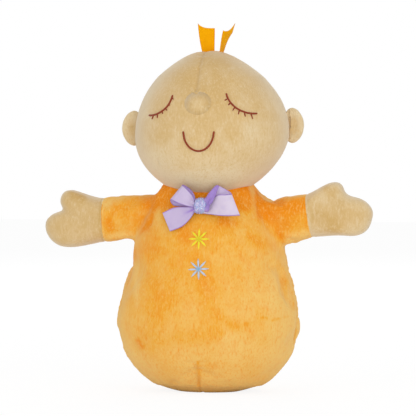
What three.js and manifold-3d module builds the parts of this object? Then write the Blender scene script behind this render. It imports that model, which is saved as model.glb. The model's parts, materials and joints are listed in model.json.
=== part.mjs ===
// A soft baby doll for small hands: a pear-shaped sack body without legs, raglan sleeves, mitten hands,
// a round stuffed head with sewn ears, embroidered face, a ribbon tuft on the crown and a satin bow.
// Millimetres, +Z up. The doll faces -Y and stands on the origin. Left and right are the doll's own.
import * as THREE from 'three';
import { mergeVertices } from 'three/addons/utils/BufferGeometryUtils.js';
import Module from 'manifold-3d';

const wasm = await Module();
wasm.setup();

// Cloth, fill and thread
const clothThickness = 1.5;
const sewnGap = 0.3; // between pieces that are sewn, glued or pressed together
const fillEase = 1.1; // between the cloth and the rounder fill inside it
const movingGap = 0.6; // between fills that turn against each other
const nodRoom = 7; // between the head at rest and the body's fill, for nodding
const ribbonThickness = 0.6;
const threadRadius = 0.7;
const stitchHeight = 0.9; // how far satin stitching stands off the cloth
const creaseHalfWidth = 0.5; // a seam drawn in across a panel
const creaseDepth = 0.7;
const weldDistance = 0.001;
const pillowFullness = 0.8; // below 1 an arm is fuller than an ellipse towards its edge

// Body sack
const bodyHeight = 146; // floor to the neck seam at its sides
const bodyHalfWidth = 64;
const bodyHalfDepth = 46;
const neckOverrun = 12; // how far the body's outline runs up into the head before the head cuts it
const bodyWidthShares = [0.365, 0.65, 0.867, 0.978, 1, 0.956, 0.878, 0.84, 0.735, 0.6, 0.492, 0.46];
const bodyHeightShares = [0, 0.051, 0.149, 0.264, 0.349, 0.475, 0.589, 0.699, 0.822, 0.932, 1, 1.08];
const sideSeamBack = 3; // the side seams lie behind the middle of the body
const dartFoot = 1; // floor to the dart's lower end
const dartHeight = 20;
const dartSide = 1; // the base dart lies this far to the doll's right of its middle
const pouchHalfWidth = 34;
const pouchHalfDepth = 23;
const pouchHeight = 21;
const pouchFlat = 1.5; // how much the bean pouch is pressed flat below

// Raglan armholes: a slanted plane on each side, from the neck to the armpit
const armholeTop = { out: 33, drop: 5.5 }; // drop below the neck seam
const armpit = { out: 51, drop: 36.9 }; // drop below the armhole's top

// Arms, in their own frame: along the arm from the shoulder pivot, and up
const shoulderOut = 43.5;
const shoulderDrop = 26; // neck seam to the pivot
const shoulderBallRadius = 10.5;
const armReach = 74.5; // pivot to fingertips
const armRootLength = 28; // the sleeve's root, from the pivot into the body
const armHalfHeight = 18;
const armHalfDepth = 14;
const cuffOut = 29.5; // pivot to the cuff seam
const armRest = { left: 8, right: -2 }; // degrees above level
const armUpperReachShares = [-1, 0.0, 0.2, 0.37, 0.51, 0.62, 0.71, 0.775, 0.805, 0.825, 0.88, 0.94, 0.99];
const armUpperHeightShares = [0.8, 0.86, 0.88, 0.83, 0.97, 1.13, 1.18, 1.06, 0.85, 0.58, 0.42, 0.27, 0.0];
const thumbShares = { from: 0.6, to: 0.85 };
const thumbShiftShares = { left: -0.03, right: 0.04 }; // the two thumbs don't sit alike
const armLowerReachShares = [0.98, 0.915, 0.82, 0.7, 0.56, 0.42, 0.28, 0.11, -0.2, -1];
const armLowerHeightShares = [-0.5, -0.83, -0.98, -1, -0.91, -0.8, -0.83, -0.9, -0.97, -0.9];

// Head, an egg about its widest place
const headHalfWidth = 54;
const headHalfDepth = 46;
const headUp = 59.5;
const headDown = 41.5;
const headSink = 9; // how far the head's foot lies below the neck seam
const headForward = 6;
const headLean = 3; // towards the doll's left
const headSeamBack = 7; // the side seam through the ears, behind the head's middle
const neckPivotRise = 4; // head's foot to the point that it turns about
const neckBallRadius = 17;
const noseHalfWidth = 9;
const noseHalfHeight = 8.6;
const noseHalfDepth = 6.5;
const foreheadSeamSide = -2.5; // the seam from the nose to the crown
const noseRise = 23; // above the head's widest place
const noseSide = -1.2;

// Closed eyes and smile, as places on the head's front: out from its middle, and above its widest place
const eyeInner = { out: 19.4, rise: 28.1 };
const eyeOuter = { out: 37.7, rise: 15 };
const eyeSag = { out: 24, rise: 15.1 };
const lashLength = 3.2;
const lashRadius = 0.45;
const lashDroopShare = 0.35; // how far the lashes turn from square to the lid towards straight down
const lashPlaceShares = [0.02, 0.17, 0.33, 0.49, 0.65, 0.81, 0.97];
const smileHalfWidth = 10.9;
const smileRise = 2.2;
const smileDrop = 12.7;

// Ears
const earReach = 66; // head's middle to the ear's rim
const earRootOut = 53.5;
const earHalfHeight = 12;
const earHalfDepth = 3.4;
const earRise = { left: 7.5, right: 5.7 }; // the head is held a little askew
const earHollowRadius = 5.6;
const earHollowDepth = 1.3;
const earHollowOut = 4.5;

// Ribbon tuft in the crown seam
const tuftWidth = 11;
const tuftHeight = 20.5;
const tuftNotch = 2.8;
const tuftBend = 3.4;
const tuftRoot = 1.5; // taken into the seam before the head's cloth cuts it
const tuftEnds = {
  right: { out: -1.8, turn: 0, lean: 0.5 }, // out from the head's middle, turn in degrees, lean outwards
  left: { out: 7.6, turn: 62, lean: 4 },
};

// Bow under the chin
const bowSide = 0.6;
const bowDrop = 16; // neck seam to the knot
const bowRibbonWidth = 12.7;
const bowLoopLength = 21;
const bowLoopHalfDepth = 3.8;
const bowLoopTilt = 33; // degrees above level
const bowPinchShare = 0.7; // the ribbon's width at the knot, as a share
const bowTailLength = 27;
const bowTailRightTilt = -27; // degrees above level
const bowTailLeftTilt = -2;
const bowKnotWidth = 7.6;
const bowKnotWall = 1.1;
const bowCoreHalfDepth = 1.4;
const bowWrap = 2; // how far the tails' ends lie back along the chest
const bowTailSlant = 5; // slant cut across the tails' ends
const bowSpreadShare = 0.6;
const loopFoldShare = 0.86;
const loopWaistShare = 0.42;
const satinRoughness = 0.4;

// Two embroidered stars on the chest
const starRadius = 7.5;
const starArms = 8;
const starArmHalfWidth = 0.75;
const starTipShare = 0.55;
const starSide = 0.4;
const starUpperDrop = 40; // neck seam to each star
const starLowerDrop = 60;

// How far the soft joints give, in degrees from the rest pose
const armUp = { left: 27, right: 37 };
const armDown = { left: 43, right: 33 };
const swingForward = 45;
const swingBack = 20;
const earFoldForward = 45;
const earFoldBack = 30;
const sweepSteps = 3;

// Facets
const bodySegments = 26;
const bodyRows = 13;
const headSegments = 26;
const headRows = 15;
const armOutlineCount = 34;
const armRows = 8;
const fillSegments = 20;
const fillRows = 11;
const pouchSegments = 16;
const pouchRows = 8;
const ballSegments = 12;
const ballRows = 8;
const threadSides = 5;
const stepsPerPlace = 1;
const lidCount = 8;
const smileSteps = 12;
const ribbonColumns = 4;
const ribbonRows = 6;
const loopCurveSteps = 6;
const earSegments = 14;
const fillOutlineCount = 24;
const fillArmRows = 6;

const DEGREE = Math.PI / 180;
const headHeight = bodyHeight - headSink + headDown;
const bowHeight = bodyHeight - bowDrop;
const sideOf = { left: 1, right: -1 };
const cutReach = 5 * bodyHeight;

const skinColour = 0xd7bd8e;
const clothColour = 0xebac49;
const threadColour = 0x7d3219;
const fillColour = 0xf2f0ea;
const pouchColour = 0xd9d4c8;
const satinColour = 0xcbbfdc;
const ribbonColour = 0xf0a501;

const doll = new THREE.Group();

function addPart(name, solid, colour, roughness = 0.9) {
  const material = new THREE.MeshStandardMaterial({ color: colour, roughness, metalness: 0 });
  const part = new THREE.Mesh(geometryOf(solid), material);
  part.name = name;
  doll.add(part);
}

// A closed three.js geometry as a solid with its faces pointing out
function solidOf(geometry) {
  const bare = geometry.clone();
  bare.deleteAttribute('normal');
  bare.deleteAttribute('uv');
  const merged = mergeVertices(bare, weldDistance);
  const places = merged.attributes.position;
  const corners = Array.from(merged.index.array);
  const triangles = [];
  const [a, b, c] = [new THREE.Vector3(), new THREE.Vector3(), new THREE.Vector3()];
  let volume = 0;
  for (let i = 0; i < corners.length; i += 3) {
    const [p, q, r] = corners.slice(i, i + 3);
    if (p === q || q === r || r === p) continue;
    triangles.push([p, q, r]);
    a.fromBufferAttribute(places, p);
    b.fromBufferAttribute(places, q);
    c.fromBufferAttribute(places, r);
    volume += a.dot(b.cross(c));
  }
  const outward = volume < 0 ? triangles.map(([p, q, r]) => [p, r, q]) : triangles;
  return new wasm.Manifold(new wasm.Mesh({
    numProp: 3,
    vertProperties: new Float32Array(places.array),
    triVerts: new Uint32Array(outward.flat()),
  }));
}

function geometryOf(solid) {
  const mesh = solid.getMesh();
  const geometry = new THREE.BufferGeometry();
  geometry.setAttribute('position', new THREE.BufferAttribute(mesh.vertProperties, mesh.numProp));
  geometry.setIndex(new THREE.BufferAttribute(mesh.triVerts, 1));
  geometry.computeVertexNormals();
  return geometry;
}

// Moves every vertex of a geometry by a rule
function bent(geometry, rule) {
  const places = geometry.attributes.position;
  const point = new THREE.Vector3();
  for (let i = 0; i < places.count; i += 1) {
    point.fromBufferAttribute(places, i);
    rule(point);
    places.setXYZ(i, point.x, point.y, point.z);
  }
  return geometry;
}

// The part of space on the side of a plane that its normal points to
function beyond(point, normal) {
  const block = new THREE.BoxGeometry(cutReach, cutReach, cutReach);
  block.translate(0, 0, cutReach / 2);
  const turn = new THREE.Quaternion().setFromUnitVectors(new THREE.Vector3(0, 0, 1), normal);
  block.applyQuaternion(turn);
  block.translate(point.x, point.y, point.z);
  return solidOf(block);
}

function ball(radius, centre, segments = ballSegments, rows = ballRows) {
  const geometry = new THREE.SphereGeometry(radius, segments, rows);
  geometry.rotateX(Math.PI / 2);
  geometry.translate(centre.x, centre.y, centre.z);
  return solidOf(geometry);
}

function ellipsoid(halfWidth, halfDepth, halfHeight, centre, segments, rows) {
  const geometry = new THREE.SphereGeometry(1, segments, rows);
  geometry.rotateX(Math.PI / 2);
  geometry.scale(halfWidth, halfDepth, halfHeight);
  geometry.translate(centre.x, centre.y, centre.z);
  return solidOf(geometry);
}

// The largest body of a solid, without the slivers that a cut leaves
function largest(solid) {
  const bodies = solid.decompose();
  return bodies.reduce((best, body) => (body.volume() > best.volume() ? body : best));
}

// The body sack is a lathed pear, flattened front to back. A negative growth gives its inside.
const bodyOutline = new THREE.SplineCurve(bodyWidthShares.map(
  (share, i) => new THREE.Vector2(share * bodyHalfWidth, bodyHeightShares[i] * bodyHeight),
));

function pear(growth, segments = bodySegments, rows = bodyRows, overrun = neckOverrun) {
  const places = bodyOutline.getSpacedPoints(rows);
  const profile = places.map((place, i) => {
    const before = places[Math.max(i - 1, 0)];
    const after = places[Math.min(i + 1, rows)];
    const along = after.clone().sub(before).normalize();
    const height = i === 0 ? place.y - growth : place.y - growth * along.x;
    return new THREE.Vector2(place.x + growth * along.y, height);
  });
  const top = bodyHeight + overrun;
  const last = profile[profile.length - 1];
  profile.push(new THREE.Vector2(last.x, top));
  profile.push(new THREE.Vector2(0, top));
  profile.unshift(new THREE.Vector2(0, profile[0].y));
  const geometry = new THREE.LatheGeometry(profile, segments);
  geometry.rotateX(Math.PI / 2);
  geometry.scale(1, (bodyHalfDepth + growth) / (bodyHalfWidth + growth), 1);
  return solidOf(geometry);
}

// How far forward the body's front lies at a place of the front view
function bodyFront(side, height) {
  const places = bodyOutline.getSpacedPoints(bodyRows);
  const above = places.findIndex((place) => place.y >= height);
  const [low, high] = [places[above - 1], places[above]];
  const halfWidth = THREE.MathUtils.mapLinear(height, low.y, high.y, low.x, high.x);
  return -halfWidth * (bodyHalfDepth / bodyHalfWidth) * Math.sqrt(1 - (side / halfWidth) ** 2);
}

const headCentre = new THREE.Vector3(headLean, -headForward, headHeight);
const shoulderPivot = (side) => new THREE.Vector3(side * shoulderOut, 0, bodyHeight - shoulderDrop);
const neckPivot = new THREE.Vector3(0, 0, bodyHeight - headSink + neckPivotRise);

function egg(growth, segments = headSegments, rows = headRows) {
  const geometry = new THREE.SphereGeometry(1, segments, rows);
  geometry.rotateX(Math.PI / 2);
  bent(geometry, (point) => {
    point.x *= headHalfWidth + growth;
    point.y *= headHalfDepth + growth;
    point.z *= (point.z > 0 ? headUp : headDown) + growth;
    point.add(headCentre);
  });
  return solidOf(geometry);
}

// A place on the head's front, out from its middle and above its widest place, lifted off the cloth
function facePlace(out, rise, lift) {
  const reach = rise > 0 ? headUp : headDown;
  const ringShare = Math.sqrt(1 - (rise / reach) ** 2);
  const depth = headHalfDepth * Math.sqrt(ringShare ** 2 - (out / headHalfWidth) ** 2);
  const normal = new THREE.Vector3(
    out / headHalfWidth ** 2,
    -depth / headHalfDepth ** 2,
    rise / reach ** 2,
  ).normalize();
  return headCentre.clone()
    .add(new THREE.Vector3(out, -depth, rise))
    .addScaledVector(normal, lift);
}

// Highest place of the head above a point of its plan
function crownHeight(out, forward) {
  return headHeight + headUp * Math.sqrt(1 - (out / headHalfWidth) ** 2 - (forward / headHalfDepth) ** 2);
}

// An arm's flat outline, from the root over the thumb to the fingertips and back underneath
function armOutline(name) {
  const upper = armUpperReachShares.map((share, i) => {
    const onThumb = share > thumbShares.from && share < thumbShares.to;
    return [onThumb ? share + thumbShiftShares[name] : share, armUpperHeightShares[i]];
  });
  const lower = armLowerReachShares.map((share, i) => [share, armLowerHeightShares[i]]);
  return new THREE.CatmullRomCurve3([...upper, ...lower].map(([along, above]) => new THREE.Vector3(
    along < 0 ? along * armRootLength : along * armReach,
    0,
    above * armHalfHeight,
  )), true, 'centripetal');
}

// A stuffed arm: every ring of a lathed lens follows the arm's outline. A negative growth gives its inside.
function arm(name, growth, outlineCount = armOutlineCount, rows = armRows) {
  const outline = armOutline(name).getSpacedPoints(outlineCount).slice(0, outlineCount);
  const edge = outline.map((place, i) => {
    const before = outline[(i + outlineCount - 1) % outlineCount];
    const after = outline[(i + 1) % outlineCount];
    const along = after.clone().sub(before).normalize();
    return place.clone().add(new THREE.Vector3(-along.z, 0, along.x).multiplyScalar(growth));
  });
  const centre = new THREE.Vector3((armReach - armRootLength) / 2, 0, 0);
  const profile = [];
  for (let row = 0; row <= rows; row += 1) {
    const angle = -Math.PI / 2 + (Math.PI * row) / rows;
    const ring = row === 0 || row === rows ? 0 : Math.cos(angle) ** pillowFullness;
    profile.push(new THREE.Vector2(ring, Math.sign(angle) * Math.abs(Math.sin(angle)) ** pillowFullness));
  }
  const geometry = new THREE.LatheGeometry(profile, outlineCount);
  bent(geometry, (point) => {
    const ring = Math.hypot(point.x, point.z);
    const turn = Math.atan2(point.x, point.z) / (2 * Math.PI);
    const place = edge[(Math.round(turn * outlineCount) + outlineCount) % outlineCount];
    point.y *= armHalfDepth + growth;
    point.x = centre.x + ring * (place.x - centre.x);
    point.z = centre.z + ring * (place.z - centre.z);
  });
  geometry.rotateY(-armRest[name] * DEGREE);
  geometry.translate(shoulderOut, 0, bodyHeight - shoulderDrop);
  geometry.scale(sideOf[name], 1, 1);
  return solidOf(geometry);
}

// Every stance that two soft joints at one point give, where the first joint carries the second one's axis
function stances(pivot, firstAxis, firstAngles, secondAxis, secondAngles) {
  return firstAngles.flatMap((first) => secondAngles.map((second) => (
    new THREE.Matrix4().makeTranslation(pivot)
      .multiply(new THREE.Matrix4().makeRotationAxis(firstAxis, first * DEGREE))
      .multiply(new THREE.Matrix4().makeRotationAxis(secondAxis, second * DEGREE))
      .multiply(new THREE.Matrix4().makeTranslation(pivot.clone().negate()))
  )));
}

function sweep(solid, turns) {
  return wasm.Manifold.union(turns.map((turn) => solid.transform(turn.elements)));
}

function steps(from, to) {
  return Array.from({ length: sweepSteps + 1 }, (_, i) => from + ((to - from) * i) / sweepSteps);
}

// Directions, with the doll's own left and right
const up = new THREE.Vector3(0, 0, 1);
const toTheLeft = new THREE.Vector3(1, 0, 0);
const toTheRight = toTheLeft.clone().negate();
const forward = new THREE.Vector3(0, -1, 0);
const backward = forward.clone().negate();

// A plane through a point, left short of it by half a sewn gap
function beyondSeam(point, normal) {
  return beyond(point.clone().addScaledVector(normal, sewnGap / 2), normal);
}

// The armhole plane of one side, moved out along its normal
function beyondArmhole(side, shift) {
  const outward = new THREE.Vector3(side * armpit.drop, 0, armpit.out - armholeTop.out).normalize();
  const top = new THREE.Vector3(side * armholeTop.out, 0, bodyHeight - armholeTop.drop);
  const point = top.addScaledVector(outward, shift);
  return beyond(point, outward);
}

const headRoom = egg(sewnGap);

// Body and arms are one skin of cloth, cut into panels at the armholes, the cuffs and the sides
const sackOuter = pear(0)
  .add(arm('left', 0))
  .add(arm('right', 0));
const sackInner = pear(-clothThickness)
  .add(arm('left', -clothThickness))
  .add(arm('right', -clothThickness));
const sackCloth = sackOuter.subtract(sackInner);

// Body: a front and a back panel sewn at the sides, the front one with a short dart at the base
const bodyCloth = sackCloth
  .subtract(beyondArmhole(1, -sewnGap / 2))
  .subtract(beyondArmhole(-1, -sewnGap / 2))
  .subtract(headRoom);
const sideSeam = new THREE.Vector3(0, sideSeamBack, 0);
const dart = new THREE.BoxGeometry(2 * creaseHalfWidth, bodyHalfDepth, dartHeight - dartFoot);
dart.translate(-dartSide, -bodyHalfDepth / 2, (dartHeight + dartFoot) / 2);
const dartGroove = solidOf(dart).subtract(pear(-creaseDepth));
const frontPanel = bodyCloth.intersect(beyondSeam(sideSeam, forward)).subtract(dartGroove);
addPart('body_front_panel', frontPanel, clothColour);
addPart('body_back_panel', bodyCloth.intersect(beyondSeam(sideSeam, backward)), clothColour);

// Fill: the bean pouch lies in the base, and the soft fill stands on it, with hollows for what turns in it
const pouchFloor = clothThickness + sewnGap;
function pouch(growth) {
  const middle = new THREE.Vector3(0, 0, pouchFloor + pouchHeight / 2);
  return ellipsoid(
    pouchHalfWidth + growth,
    pouchHalfDepth + growth,
    pouchHeight / 2 + growth,
    middle,
    pouchSegments,
    pouchRows,
  );
  return bag;
}
const bodyFillOuter = pear(-clothThickness - fillEase, fillSegments, fillRows);
const floorUnderPouch = beyond(new THREE.Vector3(0, 0, pouchFloor + pouchFlat), up);
addPart('bean_pouch', pouch(0).intersect(floorUnderPouch), pouchColour);

const shoulderRoom = (side) => ball(shoulderBallRadius + movingGap, shoulderPivot(side));
const pouchWell = pouch(sewnGap).add(
  pouch(sewnGap).translate([0, 0, -pouchHeight / 2]),
);
const bodyFill = bodyFillOuter
  .subtract(beyondArmhole(1, -sewnGap))
  .subtract(beyondArmhole(-1, -sewnGap))
  .subtract(egg(nodRoom, fillSegments, fillRows))
  .subtract(ball(neckBallRadius + movingGap, neckPivot))
  .subtract(shoulderRoom(1))
  .subtract(shoulderRoom(-1))
  .subtract(pouchWell);
addPart('body_fill', largest(bodyFill), fillColour);
addPart('neck_fill', ball(neckBallRadius, neckPivot), fillColour);

// Arms: a raglan sleeve, a mitten hand of two halves, and fill that turns on the soft ball in the shoulder
const bodyForArms = pear(movingGap, fillSegments, fillRows);
for (const [name, side] of Object.entries(sideOf)) {
  const pivot = shoulderPivot(side);
  const rest = armRest[name] * DEGREE;
  const alongArm = new THREE.Vector3(side * Math.cos(rest), 0, Math.sin(rest));
  const cuff = pivot.clone().addScaledVector(alongArm, cuffOut);

  const sleeve = sackCloth
    .intersect(beyondArmhole(side, sewnGap / 2))
    .intersect(beyondSeam(cuff, alongArm.clone().negate()))
    .subtract(headRoom);
  addPart(`sleeve_${name}`, largest(sleeve), clothColour);

  const hand = sackCloth.intersect(beyondSeam(cuff, alongArm));
  addPart(`hand_front_${name}`, hand.intersect(beyondSeam(pivot, forward)), skinColour);
  addPart(`hand_back_${name}`, hand.intersect(beyondSeam(pivot, backward)), skinColour);

  const raise = side > 0 ? forward : backward;
  const swing = up.clone().multiplyScalar(-side);
  const bodySide = bodyForArms.subtract(beyondArmhole(side, movingGap));
  const armTurns = stances(
    pivot,
    swing,
    steps(-swingBack, swingForward),
    raise,
    steps(-armDown[name], armUp[name]),
  );
  const bodyStances = sweep(bodySide, armTurns.map((turn) => turn.invert()));
  const armFill = arm(name, -clothThickness - fillEase, fillOutlineCount, fillArmRows)
    .subtract(bodyStances)
    .subtract(shoulderRoom(side));
  addPart(`arm_fill_${name}`, largest(armFill), fillColour);
  addPart(`shoulder_fill_${name}`, ball(shoulderBallRadius, pivot), fillColour);
}

// Head: a face panel with a seam from the nose to the crown, and two back panels, open below for the neck
const headCloth = egg(0)
  .subtract(egg(-clothThickness))
  .subtract(pear(-clothThickness));
const earSeam = new THREE.Vector3(headLean, headSeamBack - headForward, 0);
const headBack = headCloth.intersect(beyondSeam(earSeam, backward));
const foreheadFoot = noseRise + noseHalfHeight;
const foreheadSeam = new THREE.BoxGeometry(2 * creaseHalfWidth, headHalfDepth, headUp - foreheadFoot);
foreheadSeam.translate(foreheadSeamSide, -headHalfDepth / 2, (headUp + foreheadFoot) / 2);
foreheadSeam.translate(headCentre.x, headCentre.y, headCentre.z);
const foreheadGroove = solidOf(foreheadSeam).subtract(egg(-creaseDepth));
const facePanel = headCloth.intersect(beyondSeam(earSeam, forward)).subtract(foreheadGroove);
addPart('face_panel', facePanel, skinColour);
addPart('head_back_panel_left', headBack.intersect(beyondSeam(headCentre, toTheLeft)), skinColour);
addPart('head_back_panel_right', headBack.intersect(beyondSeam(headCentre, toTheRight)), skinColour);
const headFill = egg(-clothThickness - fillEase, fillSegments, fillRows)
  .subtract(ball(neckBallRadius + movingGap, neckPivot));
addPart('head_fill', headFill, fillColour);

// Nose: a small gathered ball of the same cloth on the front of the face
const nosePlace = facePlace(noseSide, noseRise, 0);
const nose = ellipsoid(noseHalfWidth, noseHalfDepth, noseHalfHeight, nosePlace, ballSegments, ballRows);
addPart('nose', nose.subtract(headRoom), skinColour);

// A thread laid over places on the face, as a closed tube
function thread(places, radius) {
  const path = new THREE.CatmullRomCurve3(places);
  const section = new THREE.Shape(Array.from({ length: threadSides }, (_, i) => (
    new THREE.Vector2(radius, 0).rotateAround(new THREE.Vector2(), (2 * Math.PI * i) / threadSides)
  )));
  const geometry = new THREE.ExtrudeGeometry(section, {
    steps: (places.length - 1) * stepsPerPlace,
    bevelEnabled: false,
    extrudePath: path,
  });
  return solidOf(geometry);
}

const threadLift = sewnGap + threadRadius;
// Closed eyes: a hanging arc of stem stitch with short lashes below it
for (const [name, side] of Object.entries(sideOf)) {
  const lid = new THREE.QuadraticBezierCurve(
    new THREE.Vector2(eyeInner.out, eyeInner.rise),
    new THREE.Vector2(eyeSag.out, eyeSag.rise),
    new THREE.Vector2(eyeOuter.out, eyeOuter.rise),
  );
  const onFace = (place) => facePlace(side * place.x, place.y, threadLift);
  let eye = thread(lid.getPoints(lidCount).map(onFace), threadRadius);
  for (const share of lashPlaceShares) {
    const root = lid.getPoint(share);
    const tangent = lid.getTangent(share);
    const fall = new THREE.Vector2(tangent.y, -tangent.x).lerp(new THREE.Vector2(0, -1), lashDroopShare);
    const tip = root.clone().addScaledVector(fall.normalize(), lashLength);
    eye = eye.add(thread([onFace(root), onFace(root.clone().lerp(tip, 1 / 2)), onFace(tip)], lashRadius));
  }
  addPart(`eye_stitching_${name}`, largest(eye), threadColour);
}

// Smile: half an ellipse of stem stitch
const smilePlaces = Array.from({ length: smileSteps + 1 }, (_, i) => {
  const angle = Math.PI * (1 + i / smileSteps);
  const out = smileHalfWidth * Math.cos(angle);
  return facePlace(out, smileRise + smileDrop * Math.sin(angle), threadLift);
});
addPart('smile_stitching', thread(smilePlaces, threadRadius), threadColour);

// Ears: small stuffed flaps sewn into the side seams, hollowed a little in front
for (const [name, side] of Object.entries(sideOf)) {
  const middle = new THREE.Vector3(headLean + side * earRootOut, earSeam.y, headHeight + earRise[name]);
  const flap = ellipsoid(earReach - earRootOut, earHalfDepth, earHalfHeight, middle, earSegments, ballRows);
  const hollow = middle.clone()
    .addScaledVector(toTheLeft, side * earHollowOut)
    .addScaledVector(forward, earHalfDepth - earHollowDepth + earHollowRadius);
  const fold = up.clone().multiplyScalar(-side);
  const folds = stances(middle, fold, steps(-earFoldBack, earFoldForward), up, [0]);
  const headStances = sweep(egg(movingGap), folds.map((turn) => turn.invert()));
  const ear = flap.subtract(ball(earHollowRadius, hollow)).subtract(headStances);
  addPart(`ear_${name}`, largest(ear), skinColour);
}

// A strip of ribbon that stands up from the origin, facing forward
function ribbonStrip(width, length) {
  const strip = new THREE.BoxGeometry(width, ribbonThickness, length, ribbonColumns, 1, ribbonRows);
  strip.translate(0, -ribbonThickness / 2, length / 2);
  return strip;
}

// Tuft: the two ends of a folded ribbon that stand up from the crown seam, each cut with a dip
for (const [name, { out, turn, lean }] of Object.entries(tuftEnds)) {
  const side = sideOf[name];
  const ribbon = bent(ribbonStrip(tuftWidth, tuftHeight), (point) => {
    const climb = point.z / tuftHeight;
    const inward = (tuftWidth / 2 - side * point.x) / tuftWidth;
    point.z -= climb * tuftNotch * Math.sqrt(inward);
    point.y -= tuftBend * climb ** 2;
  });
  ribbon.rotateZ(turn * DEGREE);
  ribbon.translate(headLean + out, -headForward, crownHeight(out, 0) + sewnGap - tuftRoot);
  bent(ribbon, (point) => {
    point.x += side * lean * Math.max(point.z - headHeight - headUp, 0) / tuftHeight;
  });
  addPart(`tuft_ribbon_${name}`, solidOf(ribbon).subtract(egg(movingGap)), ribbonColour);
}

// Bow: one ribbon folded into two loops, a second one behind it whose ends hang out, and a band round both.
// Depths run forward from the band's back, which touches the chest at its lower edge.
const pinchedWidth = bowRibbonWidth * bowPinchShare;
const tailBack = -bowKnotWall - sewnGap;
const coreBack = tailBack - ribbonThickness - sewnGap;
const coreFront = coreBack - 2 * bowCoreHalfDepth;
const bandFront = coreFront - sewnGap - bowKnotWall;
const bandHalfHeight = pinchedWidth / 2 + sewnGap + bowKnotWall;
const bowPlace = new THREE.Vector3(
  bowSide,
  bodyFront(bowSide, bowHeight - bandHalfHeight) - sewnGap,
  bowHeight,
);

// Widens from the pinch at the knot to the ribbon's own width
function spread(point, along, length) {
  const share = THREE.MathUtils.smoothstep(along, bowKnotWidth / 2, length * bowSpreadShare);
  return point * THREE.MathUtils.lerp(bowPinchShare, 1, share);
}

function onBow(geometry) {
  geometry.translate(bowPlace.x, bowPlace.y, bowPlace.z);
  return solidOf(geometry);
}

function bowLoop(side) {
  const length = bowLoopLength;
  const depth = 2 * bowLoopHalfDepth;
  const outer = new THREE.Shape();
  outer.moveTo(0, 0);
  outer.lineTo(length * loopFoldShare, 0);
  outer.bezierCurveTo(length, 0, length, depth, length * loopFoldShare, depth);
  outer.quadraticCurveTo(length * loopWaistShare, depth, 0, coreBack - coreFront);
  const inner = new THREE.Path();
  const wall = ribbonThickness;
  inner.moveTo(bowKnotWidth, wall);
  inner.lineTo(length * loopFoldShare, wall);
  inner.bezierCurveTo(length - wall, wall, length - wall, depth - wall, length * loopFoldShare, depth - wall);
  inner.quadraticCurveTo(length * loopWaistShare, depth - wall, bowKnotWidth, 2 * wall);
  outer.holes.push(inner);
  const geometry = new THREE.ExtrudeGeometry(outer, {
    depth: bowRibbonWidth,
    curveSegments: loopCurveSteps,
    bevelEnabled: false,
  });
  bent(geometry, (point) => {
    const across = spread(point.z - bowRibbonWidth / 2, point.x, length);
    point.set(point.x, coreBack - point.y, across);
  });
  geometry.rotateY(-bowLoopTilt * DEGREE);
  geometry.scale(side, 1, 1);
  return onBow(geometry);
}

function boxBetween(width, back, front, height) {
  const block = new THREE.BoxGeometry(width, back - front, height);
  block.translate(0, (back + front) / 2, 0);
  return onBow(block);
}

const knotRoom = bowKnotWidth + 2 * sewnGap;
const knotHole = boxBetween(knotRoom, -bowKnotWall, bandFront + bowKnotWall, pinchedWidth + 2 * sewnGap);
const outsideHole = boxBetween(knotRoom, cutReach, -cutReach, cutReach).subtract(knotHole);
const core = boxBetween(bowKnotWidth, coreBack, coreFront, pinchedWidth);
const loops = bowLoop(1).add(bowLoop(-1)).subtract(outsideHole).add(core);
addPart('bow_loops', largest(loops), satinColour, satinRoughness);

function bowTail(side, tilt) {
  const strip = bent(ribbonStrip(bowRibbonWidth, bowTailLength), (point) => {
    const along = point.z;
    const slant = (point.x / bowRibbonWidth) * bowTailSlant * (along / bowTailLength);
    point.set(along + slant, point.y, spread(point.x, along, bowTailLength));
  });
  strip.rotateY(-tilt * DEGREE);
  strip.scale(side, 1, 1);
  return bent(strip, (point) => {
    const [x, z] = [bowPlace.x + point.x, bowPlace.z + point.z];
    const back = bowPlace.y + tailBack + bowWrap * (Math.abs(point.x) / bowTailLength) ** 2;
    point.set(x, point.y + Math.min(back, bodyFront(x, z) - sewnGap), z);
  });
}
const tails = solidOf(bowTail(1, bowTailLeftTilt)).add(solidOf(bowTail(-1, bowTailRightTilt)));
addPart('bow_tails', tails.subtract(outsideHole), satinColour, satinRoughness);

const band = boxBetween(bowKnotWidth, 0, bandFront, 2 * bandHalfHeight);
addPart('bow_knot_band', band.subtract(knotHole), satinColour, satinRoughness);

// Stars: eight satin-stitched rays each, laid on the front panel
for (const [name, height, colour] of [
  ['yellow_star', bodyHeight - starUpperDrop, 0xe6d739],
  ['blue_star', bodyHeight - starLowerDrop, 0xa2bcce],
]) {
  const outline = new THREE.Shape();
  const waist = starArmHalfWidth / Math.sin(Math.PI / starArms);
  for (let arm = 0; arm < starArms; arm += 1) {
    const angle = (2 * Math.PI * arm) / starArms;
    const along = new THREE.Vector2(Math.cos(angle), Math.sin(angle));
    const across = new THREE.Vector2(-along.y, along.x).multiplyScalar(starArmHalfWidth * starTipShare);
    const tip = along.clone().multiplyScalar(starRadius);
    const valley = new THREE.Vector2(waist, 0).rotateAround(new THREE.Vector2(), angle + Math.PI / starArms);
    for (const place of [tip.clone().sub(across), tip.clone().add(across), valley]) {
      if (arm === 0 && place.x === tip.x && place.y < 0) outline.moveTo(place.x, place.y);
      else outline.lineTo(place.x, place.y);
    }
  }
  outline.closePath();
  const star = new THREE.ExtrudeGeometry(outline, { depth: stitchHeight, bevelEnabled: false });
  bent(star, (point) => {
    const [x, z] = [starSide + point.x, height + point.y];
    point.set(x, bodyFront(x, z) - sewnGap - point.z, z);
  });
  addPart(name, solidOf(star), colour);
}

export default doll;
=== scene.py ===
import json
import math

import bmesh
import bpy
import numpy as np
from mathutils import Matrix, Vector, noise
from mathutils.bvhtree import BVHTree
from mathutils.kdtree import KDTree


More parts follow.
